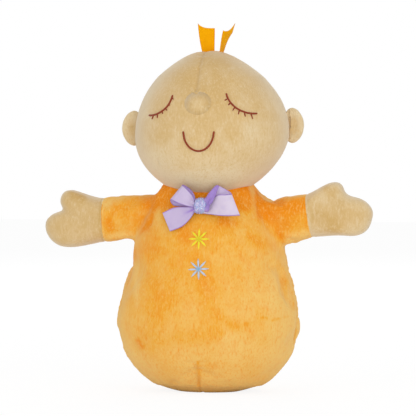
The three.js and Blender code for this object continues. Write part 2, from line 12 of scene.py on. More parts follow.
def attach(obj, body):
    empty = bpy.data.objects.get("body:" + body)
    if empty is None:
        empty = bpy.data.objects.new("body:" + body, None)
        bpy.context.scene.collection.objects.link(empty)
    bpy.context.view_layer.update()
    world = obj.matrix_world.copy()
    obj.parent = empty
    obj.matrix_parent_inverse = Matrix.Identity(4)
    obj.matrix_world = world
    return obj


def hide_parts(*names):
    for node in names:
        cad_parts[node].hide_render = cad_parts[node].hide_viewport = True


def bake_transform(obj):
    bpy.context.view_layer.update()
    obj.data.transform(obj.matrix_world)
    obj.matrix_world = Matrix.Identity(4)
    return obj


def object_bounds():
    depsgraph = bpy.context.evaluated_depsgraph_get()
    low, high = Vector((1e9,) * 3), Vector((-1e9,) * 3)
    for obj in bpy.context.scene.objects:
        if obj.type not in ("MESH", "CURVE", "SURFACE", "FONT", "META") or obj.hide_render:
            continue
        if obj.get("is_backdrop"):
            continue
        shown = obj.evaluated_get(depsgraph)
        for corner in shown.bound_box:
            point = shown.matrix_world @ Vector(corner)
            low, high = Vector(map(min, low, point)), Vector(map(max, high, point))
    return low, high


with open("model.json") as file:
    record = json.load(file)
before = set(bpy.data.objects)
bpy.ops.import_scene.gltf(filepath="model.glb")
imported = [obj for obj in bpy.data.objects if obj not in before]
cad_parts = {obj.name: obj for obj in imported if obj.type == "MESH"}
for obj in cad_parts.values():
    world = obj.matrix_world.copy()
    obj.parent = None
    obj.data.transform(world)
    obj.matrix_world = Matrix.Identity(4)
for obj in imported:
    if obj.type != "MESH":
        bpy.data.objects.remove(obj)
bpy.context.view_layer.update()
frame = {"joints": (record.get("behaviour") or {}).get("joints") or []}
scene = bpy.context.scene

# The doll is seen nearly level and eleven degrees round to its left, through a long lens. Each of the
# photograph's 416 pixels covers 0.7 mm of it.
MM = 0.001
PHOTO_PIXELS = 416
PIXEL = 0.7 * MM
AZIMUTH = math.radians(11.4)
ELEVATION = math.radians(2)
CAMERA_DISTANCE = 2.2
AIM = Vector((-0.35, 0, 128.1)) * MM

TO_CAMERA = Vector((
    math.sin(AZIMUTH) * math.cos(ELEVATION),
    -math.cos(AZIMUTH) * math.cos(ELEVATION),
    math.sin(ELEVATION),
))
SCREEN_RIGHT = Vector((0, 0, 1)).cross(TO_CAMERA).normalized()
SCREEN_UP = TO_CAMERA.cross(SCREEN_RIGHT)


def adjusted(thing, **settings):
    """Gives a node, lamp or modifier its settings."""
    for name, value in settings.items():
        setattr(thing, name, value)
    return thing


def placed(name, data):
    """A new object in the scene."""
    made = bpy.data.objects.new(name, data)
    scene.collection.objects.link(made)
    return made


def aimed(name, data, place):
    """A camera or lamp at a place, turned towards the doll."""
    made = placed(name, data)
    made.location = place
    made.rotation_euler = (AIM - Vector(place)).to_track_quat("-Z", "Y").to_euler()
    return made


camera = aimed("camera", bpy.data.cameras.new("camera"), AIM + TO_CAMERA * CAMERA_DISTANCE)
camera.data.lens = camera.data.sensor_width * CAMERA_DISTANCE / (PHOTO_PIXELS * PIXEL)
scene.camera = camera


def sight(across, down):
    """The camera's place, and its line of sight through a pixel."""
    middle = PHOTO_PIXELS / 2
    spot = AIM + (SCREEN_RIGHT * (across - middle) - SCREEN_UP * (down - middle)) * PIXEL
    return camera.location, (spot - camera.location).normalized()


def seen_at(across, down, y):
    """Where a pixel's line of sight crosses a depth of the doll."""
    eye, look = sight(across, down)
    return eye + look * ((y - eye.y) / look.y)


def in_photo(places):
    """The pixels at which places on the doll are seen."""
    offsets = (places - np.array(camera.location)) @ np.array([SCREEN_RIGHT, -SCREEN_UP, -TO_CAMERA]).T
    return PHOTO_PIXELS / 2 + offsets[:, :2] / offsets[:, 2:] * CAMERA_DISTANCE / PIXEL


# A white studio: an even room, a white table, and broad soft lamps above the camera's right, on its left, low
# in front and behind. Past the doll the camera sees plain white.
ROOM_LIGHT = 0.68
LAMPS = {
    "key": ((1.3, -1.4, 1.0), 1.3, 4.6),
    "fill": ((-1.1, -1.4, 0.6), 1.2, 3.2),
    "low": ((0.5, -1.5, 0.1), 0.8, 7.5),
    "back": ((-0.3, 1.4, 1.0), 1.0, 4.0),
}
TABLE_HALF = 3.0
TABLE_WHITE = 1.035
TABLE_SHARE = 0.85
WHITE = (1, 1, 1, 1)
MATT_WHITE = (0.95, 0.95, 0.95, 1)


def wire(tree, node, inputs):
    """Gives a node's inputs values or links."""
    for name, value in inputs.items():
        if isinstance(value, bpy.types.Node):
            value = value.outputs[0]
        if isinstance(value, bpy.types.NodeSocket):
            tree.links.new(value, node.inputs[name])
        else:
            node.inputs[name].default_value = value
    return node


def add(tree, kind, inputs=None, **settings):
    """A shader node with its settings and inputs given."""
    return wire(tree, adjusted(tree.nodes.new("ShaderNode" + kind), **settings), inputs or {})


def worked_out(tree, operation, *values):
    """One value worked out from others."""
    return add(tree, "Math", dict(enumerate(values)), operation=operation)


scene.view_settings.view_transform = "Standard"
scene.world = bpy.data.worlds.new("studio")
scene.world.use_nodes = True
tree = scene.world.node_tree
tree.nodes.clear()
rays = add(tree, "LightPath").outputs
seen = worked_out(tree, "MAXIMUM", rays["Is Camera Ray"], rays["Is Glossy Ray"])
seen = worked_out(tree, "MAXIMUM", seen, rays["Is Transmission Ray"])
room = add(tree, "Background", {"Color": WHITE, "Strength": ROOM_LIGHT})
plain_white = add(tree, "Background", {"Color": WHITE, "Strength": 1})
either = add(tree, "MixShader", {0: seen, 1: room, 2: plain_white})
add(tree, "OutputWorld", {0: either})
for name, (place, width, power) in LAMPS.items():
    lamp = aimed(name, bpy.data.lights.new(name, "AREA"), place)
    adjusted(lamp.data, shape="DISK", size=width, energy=power)


def mesh_object(name, source, material):
    """An object made from a bmesh, which is then freed."""
    mesh = bpy.data.meshes.new(name)
    source.to_mesh(mesh)
    source.free()
    mesh.materials.append(material)
    mesh.shade_smooth()
    return placed(name, mesh)


def blank(name):
    """A new material and its node tree."""
    material = bpy.data.materials.new(name)
    material.use_nodes = True
    return material, material.node_tree


table_white, tree = blank("table_white")
tree.nodes.clear()
share = worked_out(tree, "MULTIPLY", add(tree, "LightPath").outputs["Is Camera Ray"], TABLE_SHARE)
matt = add(tree, "BsdfDiffuse", {"Color": MATT_WHITE})
glow = add(tree, "Emission", {"Color": WHITE, "Strength": TABLE_WHITE})
lifted = add(tree, "MixShader", {0: share, 1: matt, 2: glow})
add(tree, "OutputMaterial", {"Surface": lifted})
bm = bmesh.new()
bmesh.ops.create_grid(bm, x_segments=1, y_segments=1, size=TABLE_HALF)
table = mesh_object("table", bm, table_white)
table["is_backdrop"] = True

# The whole doll is of short-pile plush, with a nap that shades from pale to deep in soft patches and shows fine
# streaks.
# It has a painted sheen, paler where it is seen edge on, and is painted darker in the seams: stitches and painted
# shade.
PATCH_SIZE = 26 * MM
PATCH_STRENGTH = 0.6
MOTTLE_SIZE = 8 * MM
STREAK_SIZE = 1.9 * MM
PILE_SIZE = 0.9 * MM
PILE_HEIGHT = 0.6 * MM
SEAM_SHADE = (0.72, 0.66, 0.6, 1)
RIM_MOST = 0.75


def colour(red, green, blue):
    """A screen's colour as the renderer counts light."""
    return [((c / 255 + 0.055) / 1.055) ** 2.4 if c > 10 else c / 255 / 12.92 for c in (red, green, blue)] + [1]


def effect(name, colours, masks):
    """An empty group from colours and masks to a colour and a height."""
    group = bpy.data.node_groups.new(name, "ShaderNodeTree")
    for way, kind, sockets in (
        ("INPUT", "Color", colours), ("INPUT", "Float", masks),
        ("OUTPUT", "Color", ["Colour"]), ("OUTPUT", "Float", ["Height"]),
    ):
        for socket in sockets:
            group.interface.new_socket(socket, in_out=way, socket_type=f"NodeSocket{kind}")
    return group, group.nodes.new("NodeGroupInput"), group.nodes.new("NodeGroupOutput")


def speckle(tree, size, detail, stretch=(1, 1, 1), distortion=0.0):
    """Noise of one feature size, between 0 and 1."""
    place = add(tree, "TexCoord").outputs["Object"]
    look = {"Scale": 1 / size, "Detail": detail, "Roughness": 0.55, "Distortion": distortion}
    look["Vector"] = add(tree, "Mapping", {0: place, "Scale": stretch})
    return add(tree, "TexNoise", look).outputs[0]


def between(tree, value, low, high):
    """The part of a value from low to high, eased over 0 to 1."""
    limits = {"Value": value, "From Min": low, "From Max": high}
    return add(tree, "MapRange", limits, interpolation_type="SMOOTHSTEP")


def mixed(tree, amount, first, second, most=1.0):
    """Two colours mixed by an amount, up to most."""
    shares = {0: worked_out(tree, "MULTIPLY", amount, most), 6: first, 7: second}
    return add(tree, "Mix", shares, data_type="RGBA").outputs[2]


# The nap mask deepens or pales the colour: the nap's own tone, and also painted shade and painted light.
nap, given, result = effect("brushed nap", ["Main", "Deep", "Pale"], ["Seam", "Brushed"])
main, deep, pale, seam, brushed = given.outputs[:5]
patches = worked_out(nap, "MULTIPLY_ADD", speckle(nap, PATCH_SIZE, 3, distortion=0.5), PATCH_STRENGTH, brushed)
mottles = speckle(nap, MOTTLE_SIZE, 4, (1, 1, 0.8), 1.2)
bright_mottles = speckle(nap, MOTTLE_SIZE * 1.4, 4, (1.1, 1, 0.7), 0.8)
streaks = speckle(nap, STREAK_SIZE, 3, (1.5, 1.5, 0.4), 0.3)
pile = speckle(nap, PILE_SIZE, 2, (1.1, 1.1, 0.5))
shade = mixed(nap, between(nap, patches, -0.04, 0.36), pale, main)
for mask, low, high, tint, most in (
    (patches, 0.22, 0.66, deep, 0.9),
    (mottles, 0.45, 0.8, deep, 0.4),
    (bright_mottles, 0.48, 0.8, pale, 0.35),
    (streaks, 0.5, 0.8, pale, 0.65),
    (streaks, 0.5, 0.2, deep, 0.6),
    (pile, 0.5, 0.8, deep, 0.5),
    (pile, 0.5, 0.2, pale, 0.5),
):
    shade = mixed(nap, between(nap, mask, low, high), shade, tint, most)
# The seam mask darkens the colour: partly the stitches, partly painted shade in the seam grooves.
in_seam = add(nap, "Mix", {0: 1.0, 6: deep, 7: SEAM_SHADE}, data_type="RGBA", blend_type="MULTIPLY")
shade = mixed(nap, seam, shade, in_seam.outputs[2])
wire(nap, result, {"Colour": shade, "Height": worked_out(nap, "MULTIPLY_ADD", streaks, 0.5, pile)})


SHINE = ("Roughness", "Specular IOR Level", "Sheen Weight", "Sheen Roughness")


def patterned(name, pattern, codes, strength, relief, *shine):
    """A material from an effect, its colours and its shine."""
    material, tree = blank(name)
    group = add(tree, "Group", {index: colour(*code) for index, code in enumerate(codes)}, node_tree=pattern)
    for mask in group.inputs[len(codes):]:
        tree.links.new(add(tree, "Attribute", attribute_name=mask.name.lower()).outputs["Fac"], mask)
    bump = add(tree, "Bump", {"Strength": strength, "Distance": relief, "Height": group.outputs["Height"]})
    look = {"Base Color": group.outputs["Colour"], "Normal": bump}
    wire(tree, tree.nodes["Principled BSDF"], look | dict(zip(SHINE, shine)))
    return material, group


def plush(name, main, deep, pale, rim, sheen):
    """Plush, with a painted sheen of its rim colour where seen edge on, and its shader sheen's tint."""
    material, group = patterned(name, nap, (main, deep, pale), 0.4, PILE_HEIGHT, 0.95, 0.1, 0.25, 0.4)
    tree = material.node_tree
    # Painted sheen: seen edge on, the colour turns towards the rim colour, except where the nap is painted deep.
    edge_on = between(tree, add(tree, "LayerWeight", {"Blend": 0.5}).outputs["Facing"], 0.1, 1.0)
    upright = between(tree, group.inputs["Brushed"].links[0].from_socket, 0.5, 0.05)
    raised_nap = worked_out(tree, "MULTIPLY", edge_on, upright)
    shade = mixed(tree, raised_nap, group.outputs["Colour"], colour(*rim), RIM_MOST)
    wire(tree, tree.nodes["Principled BSDF"], {"Base Color": shade, "Sheen Tint": colour(*sheen)})
    return material


# Each plush's fourth colour is its painted sheen seen edge on, and the fifth tints its shader sheen.
orange_plush = plush("orange_plush", (237, 171, 60), (236, 136, 8), (239, 196, 112), (240, 202, 130), (255, 215, 160))
tan_plush = plush("tan_plush", (214, 183, 131), (203, 166, 104), (224, 203, 164), (228, 214, 190), (255, 245, 230))


# The skin is one stuffed bag of orange plush for body and sleeves, with tan mittens at its ends. It is shaped
# whole, as a spun pear and two flat-cut arms, and cut apart at its seams later.
def applied(made):
    """Gives an object the mesh that its modifiers make."""
    shown = made.evaluated_get(bpy.context.evaluated_depsgraph_get())
    mesh = bpy.data.meshes.new_from_object(shown)
    made.modifiers.clear()
    made.data = mesh
    return made


CURVE_STEPS = 24


def smooth_line(points, count, closed=False):
    """Evenly spaced places on a smooth line through points."""
    knots = np.array(points, float)
    if closed:
        knots = np.vstack([knots[-1], knots, knots[0], knots[1]])
    else:
        knots = np.vstack([2 * knots[0] - knots[1], knots, 2 * knots[-1] - knots[-2]])
    steps = np.linspace(0, 1, CURVE_STEPS, endpoint=False)[:, None]
    line = [
        0.5 * (2 * b + (c - a) * steps + (2 * a - 5 * b + 4 * c - d) * steps**2 + (3 * b - a - 3 * c + d) * steps**3)
        for a, b, c, d in zip(knots, knots[1:], knots[2:], knots[3:])
    ]
    line = np.vstack([*line, knots[-2]])
    reach = np.concatenate([[0], np.cumsum(np.linalg.norm(np.diff(line, axis=0), axis=1))])
    wanted = np.linspace(0, reach[-1], count, endpoint=not closed)
    return np.stack([np.interp(wanted, reach, line[:, i]) for i in range(line.shape[1])], axis=1)


def sphere(source, around, rings):
    """The points of a new ball of radius 1."""
    return bmesh.ops.create_uvsphere(source, u_segments=around, v_segments=rings, radius=1)["verts"]


BODY_HEIGHT = 146 * MM
BODY_HALF_WIDTH = 64 * MM
BODY_HALF_DEPTH = 46 * MM
BODY_SHARES = [
    (0, 0), (0.2, 0), (0.365, 0.003), (0.65, 0.051), (0.867, 0.149), (0.978, 0.264), (1, 0.349), (0.956, 0.475),
    (0.878, 0.589), (0.84, 0.699), (0.735, 0.822), (0.6, 0.932), (0.492, 1), (0.46, 1.07), (0.3, 1.1), (0, 1.1),
]
SIDE = {"left": 1, "right": -1}
JOINT = {joint["name"]: Vector(joint["pos_m"]) for joint in frame["joints"]}
SHOULDER = {name: JOINT[f"arm_{name}_raise"] for name in SIDE}
ARM_REST = {"left": math.radians(8), "right": math.radians(-2)}
ARM_REACH = 74.5 * MM
ARM_ROOT = 28 * MM
ARM_HALF_HEIGHT = 18 * MM
ARM_HALF_DEPTH = 14 * MM
CUFF_OUT = {"left": 28.8 * MM, "right": 30.3 * MM}
ARM_SHARES = {
    "left": [
        (-1, 0.8), (-0.2, 1.0), (-0.1, 0.9), (-0.01, 0.79), (0.05, 0.72), (0.11, 0.76), (0.2, 0.82),
        (0.3, 0.81), (0.38, 0.78), (0.45, 0.87), (0.523, 1), (0.61, 1.13), (0.685, 1.13), (0.73, 0.97),
        (0.75, 0.66), (0.8, 0.49), (0.861, 0.38), (0.92, 0.2), (0.962, -0.05), (0.972, -0.27), (0.955, -0.53),
        (0.915, -0.82), (0.85, -1), (0.77, -1.05), (0.66, -0.99), (0.52, -0.92), (0.4, -0.87), (0.3, -0.92),
        (0.184, -1.01), (0, -1.06), (-0.2, -1), (-1, -0.9),
    ],
    "right": [
        (-1, 0.86), (-0.08, 0.91), (0.19, 0.92), (0.324, 0.9), (0.42, 0.86), (0.544, 0.98), (0.677, 1.17),
        (0.745, 1.23), (0.795, 1.17), (0.83, 0.96), (0.833, 0.72), (0.806, 0.45), (0.875, 0.36), (0.94, 0.25),
        (0.993, 0), (0.993, -0.36), (0.935, -0.74), (0.84, -0.96), (0.7, -1), (0.56, -0.93), (0.425, -0.85),
        (0.28, -0.85), (0.1, -0.9), (-0.2, -0.96), (-1, -0.9),
    ],
}
ARM_OUTLINE_STEPS = 144
ARM_RINGS = 36
ARM_FULLNESS = 0.8
SKIN_VOXEL = 1.1 * MM

skin = bmesh.new()
outline = smooth_line([(w * BODY_HALF_WIDTH, h * BODY_HEIGHT) for w, h in BODY_SHARES], 90)
half = [skin.verts.new((x, 0, z)) for x, z in outline]
spun = [skin.edges.new(pair) for pair in zip(half, half[1:])]
bmesh.ops.spin(skin, geom=half + spun, cent=(0, 0, 0), axis=(0, 0, 1), angle=math.tau, steps=96, use_merge=True)
bmesh.ops.remove_doubles(skin, verts=skin.verts, dist=0.01 * MM)
bmesh.ops.scale(skin, vec=(1, BODY_HALF_DEPTH / BODY_HALF_WIDTH, 1), verts=skin.verts)

for name, side in SIDE.items():
    ball = sphere(skin, ARM_OUTLINE_STEPS, ARM_RINGS)
    knots = [(x * (ARM_ROOT if x < 0 else ARM_REACH), y * ARM_HALF_HEIGHT) for x, y in ARM_SHARES[name]]
    outline = smooth_line(knots, ARM_OUTLINE_STEPS, closed=True)
    middle = (ARM_REACH - ARM_ROOT) / 2
    turned = Matrix.Rotation(-ARM_REST[name], 4, "Y")
    for vert in ball:
        around = math.atan2(vert.co.y, vert.co.x) / math.tau * ARM_OUTLINE_STEPS
        x, z = outline[round(around) % ARM_OUTLINE_STEPS]
        ring = min(math.hypot(vert.co.x, vert.co.y), 1) ** ARM_FULLNESS
        depth = math.copysign(abs(vert.co.z) ** ARM_FULLNESS, vert.co.z) * ARM_HALF_DEPTH
        place = turned @ Vector((middle + ring * (x - middle), depth, ring * z))
        vert.co = Vector((side * (place.x + abs(SHOULDER[name].x)), place.y, place.z + SHOULDER[name].z))
bmesh.ops.recalc_face_normals(skin, faces=skin.faces)
whole = mesh_object("stuffed_skin", skin, orange_plush)


def evened(made, voxel, smoothing):
    """Lays an even net of faces over a closed form."""
    adjusted(made.modifiers.new("even", "REMESH"), mode="VOXEL", voxel_size=voxel)
    adjusted(made.modifiers.new("relax", "SMOOTH"), iterations=smoothing)
    return applied(made)


def coordinates(made, what="co"):
    """The places or normals of a mesh's vertices."""
    values = np.empty(len(made.data.vertices) * 3)
    made.data.vertices.foreach_get(what, values)
    return values.reshape(-1, 3)


def arm_frame(name, places):
    """Distances along the arm from its shoulder, and above it."""
    rest = ARM_REST[name]
    out = SIDE[name] * (places[:, 0] - SHOULDER[name].x)
    above = places[:, 2] - SHOULDER[name].z
    return out * math.cos(rest) + above * math.sin(rest), above * math.cos(rest) - out * math.sin(rest)


ARMHOLE_TOP = Vector((33, 0, 140.5)) * MM
ARMPIT = Vector((51, 0, 103.6)) * MM
ARMHOLE_SLANT = Vector((ARMHOLE_TOP.z - ARMPIT.z, 0, ARMPIT.x - ARMHOLE_TOP.x)).normalized()
ARMHOLE = {
    name: [Vector((spot.x * side, 0, spot.z)) for spot in (ARMPIT, ARMHOLE_SLANT)] for name, side in SIDE.items()
}


def beyond(places, point, normal):
    """How far places lie past a plane."""
    return (places - np.array(point)) @ np.array(normal)


def bell(distance, width):
    """1 at no distance, falling smoothly over a width."""
    return np.exp(-((distance / width) ** 2))


SIDE_SEAM_BACK = 3 * MM
DART_SIDE = 1 * MM
DART_HEIGHT = 20 * MM
SIDE_PULL, DART_PULL, ARMHOLE_PULL, CUFF_PULL, HAND_PULL, SLEEVE_PULL = 0.7, 0.45, 0.03, 0.4, 0.6, 0.8


def skin_seams(places, width):
    """1 on the skin's seams, falling over a width."""
    x, y, z = places.T
    past = {name: beyond(places, *ARMHOLE[name]) for name in SIDE}
    on_body = (past["left"] < 0) & (past["right"] < 0)
    dart = bell(x + DART_SIDE, width * 0.8) * (y < 0) * bell(np.maximum(z - DART_HEIGHT, 0), 2 * MM)
    seam = np.maximum(bell(y - SIDE_SEAM_BACK, width) * on_body * SIDE_PULL, dart * DART_PULL)
    for name in SIDE:
        along, above = arm_frame(name, places)
        on_arm = past[name] > -6 * MM
        sleeve_under = (past[name] > 0) & (along < CUFF_OUT[name]) & (above < 0)
        seam = np.maximum.reduce([
            seam,
            bell(past[name], width) * on_arm * ARMHOLE_PULL,
            bell(along - CUFF_OUT[name], width) * (along > 0) * CUFF_PULL,
            bell(y, width) * (HAND_PULL * ((along > CUFF_OUT[name]) & on_arm) + SLEEVE_PULL * sleeve_under),
        ])
    return seam


# Cloth simulation swells the bag against the thread of its seams, which holds it. Its faces are coarse, and
# what it moves is carried over to the fine skin.
CLOTH_VOXEL = 4 * MM
CLOTH_FRAMES = 20
CLOTH_PRESSURE = 4
SEAM_HOLD = 3 * MM
FLOOR_HOLD = 5 * MM


def weighted(made, name, weights):
    """A vertex group with a weight for every point."""
    group = made.vertex_groups.new(name=name)
    for index, weight in enumerate(weights):
        group.add([index], float(weight), "REPLACE")


def stuffed(made, held, slack, most):
    """A closed cloth's points, and how stuffing moves them."""
    before = coordinates(made)
    weighted(made, "held", held)
    cloth = made.modifiers.new("stuffing", "CLOTH").settings
    adjusted(cloth, vertex_group_mass="held", use_pressure=True, shrink_min=-slack)
    cloth.uniform_pressure_force = CLOTH_PRESSURE
    cloth.effector_weights.gravity = 0
    for step in range(1, CLOTH_FRAMES + 1):
        scene.frame_set(step)
    applied(made)
    scene.frame_set(1)
    moved = coordinates(made) - before
    length = np.linalg.norm(moved, axis=1, keepdims=True) + 1e-9
    return before, moved / length * most * np.tanh(length / most)


def near(places):
    """Finds the nearest of some places."""
    finder = KDTree(len(places))
    for index, place in enumerate(places):
        finder.insert(place, index)
    finder.balance()
    return finder


def swollen(made, coarse, moved):
    """Moves a fine mesh's points as a coarse cloth near them moved."""
    nearest = near(coarse)
    places = coordinates(made)
    for index, place in enumerate(places):
        found = nearest.find_n(place, 6)
        weights = np.array([1 / (distance + 0.5 * MM) ** 2 for _, _, distance in found])
        places[index] += weights @ moved[[i for _, i, _ in found]] / weights.sum()
    return reshaped(made, places)


SKIN_SLACK = 0.04
SKIN_MOST = 1.7 * MM
bag = placed("bag", whole.data.copy())
evened(bag, CLOTH_VOXEL, 4)
bag_places = coordinates(bag)
hands_out = np.maximum.reduce([arm_frame(name, bag_places)[0] - CUFF_OUT[name] for name in SIDE])
at_rest = (bag_places[:, 2] < FLOOR_HOLD) | (hands_out > 0)
held = np.maximum(skin_seams(bag_places, SEAM_HOLD), at_rest)
swelling = stuffed(bag, np.clip(held * 1.2, 0, 1), SKIN_SLACK, SKIN_MOST)
bpy.data.objects.remove(bag)
evened(whole, SKIN_VOXEL, 10)

# In front and behind, the stuffing rounds the cloth off where a sleeve runs into the body.
SHOULDER_REACH = 10 * MM
SHOULDER_SOFTENING = 80
places = coordinates(whole)
near_armhole = np.maximum.reduce([bell(beyond(places, *ARMHOLE[name]), SHOULDER_REACH) for name in SIDE])
rounded = near_armhole * np.clip(np.abs(places[:, 1]) / (6 * MM) - 1, 0, 1)
weighted(whole, "shoulders", rounded * (rounded > 0.02))
adjusted(whole.modifiers.new("soften", "SMOOTH"), vertex_group="shoulders", iterations=SHOULDER_SOFTENING)
applied(whole)

# The seams draw the cloth in, with small puckers beside them, and the stuffing lies in soft lumps. The marks
# are creases and dimples from handling, each a line on the skin with a width and a depth.
SEAM_WIDTH = 1.1 * MM
SEAM_DEPTH = 1.1 * MM
PUCKER_REACH = 4.5 * MM
PUCKER_SIZE = 4.5 * MM
PUCKER_HEIGHT = 0.35 * MM
LUMP_SIZE = 24 * MM
LUMP_HEIGHT = 0.8 * MM
SKIN_MARKS = [
    (34, -40, 50, 61, -13, 51.5, 1.3, 0.5), (10, -44, 48, 19, -44, 44, 2.2, 0.3), (-45, -26, 34, -43, -28, 31, 4, 1),
    (-55, 0, 101, -56, 0, 94, 7, 5.2), (-63, 0, 78, -65, 0, 70, 7, 1.1), (-64, 0, 60, -65, 0, 53, 6, 1.6),
    (-56, 0, 27, -46, 0, 13, 8, 1.2), (64, 0, 49, 64, 0, 38, 7, 2.8), (20, -24, 143, 30, -17, 141, 5, -1.6),
    (-22, -24, 143, -32, -17, 141, 5, -1.6), (-56, -9, 92, -53, -12, 72, 4.5, 1), (52, -12, 84, 56, -14, 68, 5, 1.2),
    (31, -27, 116, 45, -14, 107, 1.8, 0.8), (33, -28, 110, 48, -13, 102, 1.7, 0.7),
    (-36, -24, 118, -47, -12, 105, 2.2, 0.8),
]
COLLAR_HEIGHT = 124 * MM
COLLAR_FADE = 12 * MM
COLLAR_REACH = 34 * MM
FOOT_HEIGHT = 100 * MM
# Painted shade deepens the collar under the chin and the creases; painted light pales the foot and the side towards
# the key lamp.
COLLAR_NAP, FOOT_NAP, LIT_SIDE_NAP, CREASE_NAP = 0.5, 0.22, 0.15, 0.3
CUFF_WIDTH = 1.4 * MM
CUFF_NAP = {"left": (-0.4, 0.1), "right": (0.5, -0.4)}
NAP_FRONT = 6 * MM
# Marks of deeper or paler nap: partly the nap's own tone, partly painted shade in folds, wrinkles, creases and a
# dimple.
NAP_MARKS = [
    (166, 188, 162, 202, 7, 0.5), (238, 190, 244, 202, 7, 0.7), (251, 187, 254, 216, 3.5, -0.3),
    (262, 210, 298, 206, 12, 0.5), (150, 206, 146, 226, 8, 0.3), (166, 192, 155, 224, 3.5, -0.15),
    (160, 189, 150, 223, 1.5, 0.3), (153, 217, 136, 240, 1.5, 0.15), (256.5, 190, 259, 216, 1.5, 0.3),
    (222, 221, 236, 224, 5, 0.3), (238, 228, 241, 238, 6, -0.1), (252, 238, 262, 246, 8, 0.2),
    (182, 218, 184, 236, 9, 0.22), (134, 250, 134, 262, 5, 0.25), (204, 282, 210, 292, 9, 0.25),
    (160, 250, 170, 320, 16, 0.08), (200, 298, 216, 318, 18, 0.06), (136, 264, 137, 306, 3, -0.25),
    (277, 272, 273, 308, 4, -0.2), (222, 318, 234, 327, 6, 0.22), (295, 300, 294, 308, 2.5, 0.3),
    (165, 338, 190, 338, 8, 0.02), (138, 341, 142, 347, 3.2, 0.4), (190, 352, 265, 352, 14, -0.08),
    (128, 346, 150, 370, 9, -0.15), (185, 380, 240, 380, 8, -0.12), (262, 317.5, 267, 318, 1.3, 0.25),
    (272, 320.3, 280, 318.6, 1.3, 0.25), (284, 317.5, 288, 316.5, 1.3, 0.2), (198, 362, 200, 389, 1.2, 0.4),
    (110, 236, 132, 236, 4, -0.25), (106, 204, 118, 201, 5, -0.2), (109, 222, 111, 230, 4, 0.25),
    (290, 238, 312, 234, 5, -0.25), (272, 224, 300, 226, 8, 0.18), (278, 232, 282, 238, 3.5, 0.3),
    (72, 195, 82, 198, 5, 0.4), (75, 205, 95, 225, 16, 0.15), (318, 218, 334, 226, 9, 0.55),
    (326, 188, 332, 192, 5, 0.35), (340, 210, 354, 216, 12, 0.3),
]


def ripple(places, size, shift=0.0):
    """Smooth noise of one feature size at each place."""
    return np.array([noise.noise(Vector(place) / size + Vector((shift, 0, 0))) for place in places])


def relief(places, puckers, shifts=(0, 1.7), lumps=1):
    """Puckers beside the seams, and soft lumps."""
    raised = ripple(places, PUCKER_SIZE, shifts[0]) * puckers * PUCKER_HEIGHT
    return raised + ripple(places, LUMP_SIZE, shifts[1]) * LUMP_HEIGHT * lumps


def off_segment(places, ends, unit=1):
    """Distances from a straight line between two ends."""
    start, end = np.reshape(ends, (2, -1)) * unit
    run = end - start
    along = np.clip((places - start) @ run / (run @ run), 0, 1)
    return np.linalg.norm(places - start - along[:, None] * run, axis=1)


def brushed_at(places, marks):
    """How much marks in the photograph's pixels deepen or pale the nap, painted shade and light included."""
    spots = in_photo(places)
    deeper = np.zeros(len(places))
    for *ends, width, amount in marks:
        deeper += amount * bell(off_segment(spots, ends), width)
    return deeper * np.clip(-places[:, 1] / NAP_FRONT, 0, 1)


def painted(made, **values):
    """Keeps values of a mesh's points for its material."""
    for name, value in values.items():
        made.data.attributes.new(name, "FLOAT", "POINT").data.foreach_set("value", value.astype(np.float32))


def reshaped(made, places):
    """Moves a mesh's points."""
    made.data.vertices.foreach_set("co", places.ravel())
    made.data.update()
    return places


places = swollen(whole, *swelling)
seam = skin_seams(places, SEAM_WIDTH)
raised = relief(places, skin_seams(places, PUCKER_REACH) ** 2)
creased = np.zeros(len(places))
for *ends, width, depth in SKIN_MARKS:
    mark = bell(off_segment(places, ends, MM), width * MM)
    raised -= mark * depth * MM
    creased = np.maximum(creased, mark)
raised *= np.clip(places[:, 2] / FLOOR_HOLD, 0, 1)
places += coordinates(whole, "normal") * (raised - seam * SEAM_DEPTH)[:, None]
places[:, 2] = np.maximum(places[:, 2], 0)
reshaped(whole, places)
# The nap mask gets painted shade under the chin and in the creases, and painted light towards the foot and on the key
# lamp's side.
brushed = np.clip((places[:, 2] - COLLAR_HEIGHT) / COLLAR_FADE, 0, 1) * COLLAR_NAP
brushed *= np.clip(1.6 - np.abs(places[:, 0]) / COLLAR_REACH, 0, 1)
brushed -= np.clip(1 - places[:, 2] / FOOT_HEIGHT, 0, 1) * FOOT_NAP
brushed -= np.clip(places[:, 0] / BODY_HALF_WIDTH, 0, 1) * LIT_SIDE_NAP
brushed += creased * CREASE_NAP + brushed_at(places, NAP_MARKS)
for name, (on_hand, on_sleeve) in CUFF_NAP.items():
    past_cuff = arm_frame(name, places)[0] - CUFF_OUT[name]
    sewn = bell(past_cuff, CUFF_WIDTH)
    brushed += sewn * np.where(past_cuff > 0, on_hand, on_sleeve)
    seam *= 1 - sewn
# The seams are painted darker, partly stitches and partly painted shade in their grooves.
painted(whole, seam=np.clip(seam * 0.5, 0, 1), brushed=brushed)

# The skin is cut at the armholes and the cuffs, and once across each sleeve where the arm bends. A cut is
# closed by a flat face, and the skin beside it keeps the shading of the uncut bag.
BEND_START = 8 * MM
BEND_END = 18.5 * MM
CUT = 0.001 * MM
NECK_BEND = (Vector((0, 0, 140 * MM)), Vector((0, 0, 150 * MM)))
skin_normals = coordinates(whole, "normal")
skin_points = near(places)


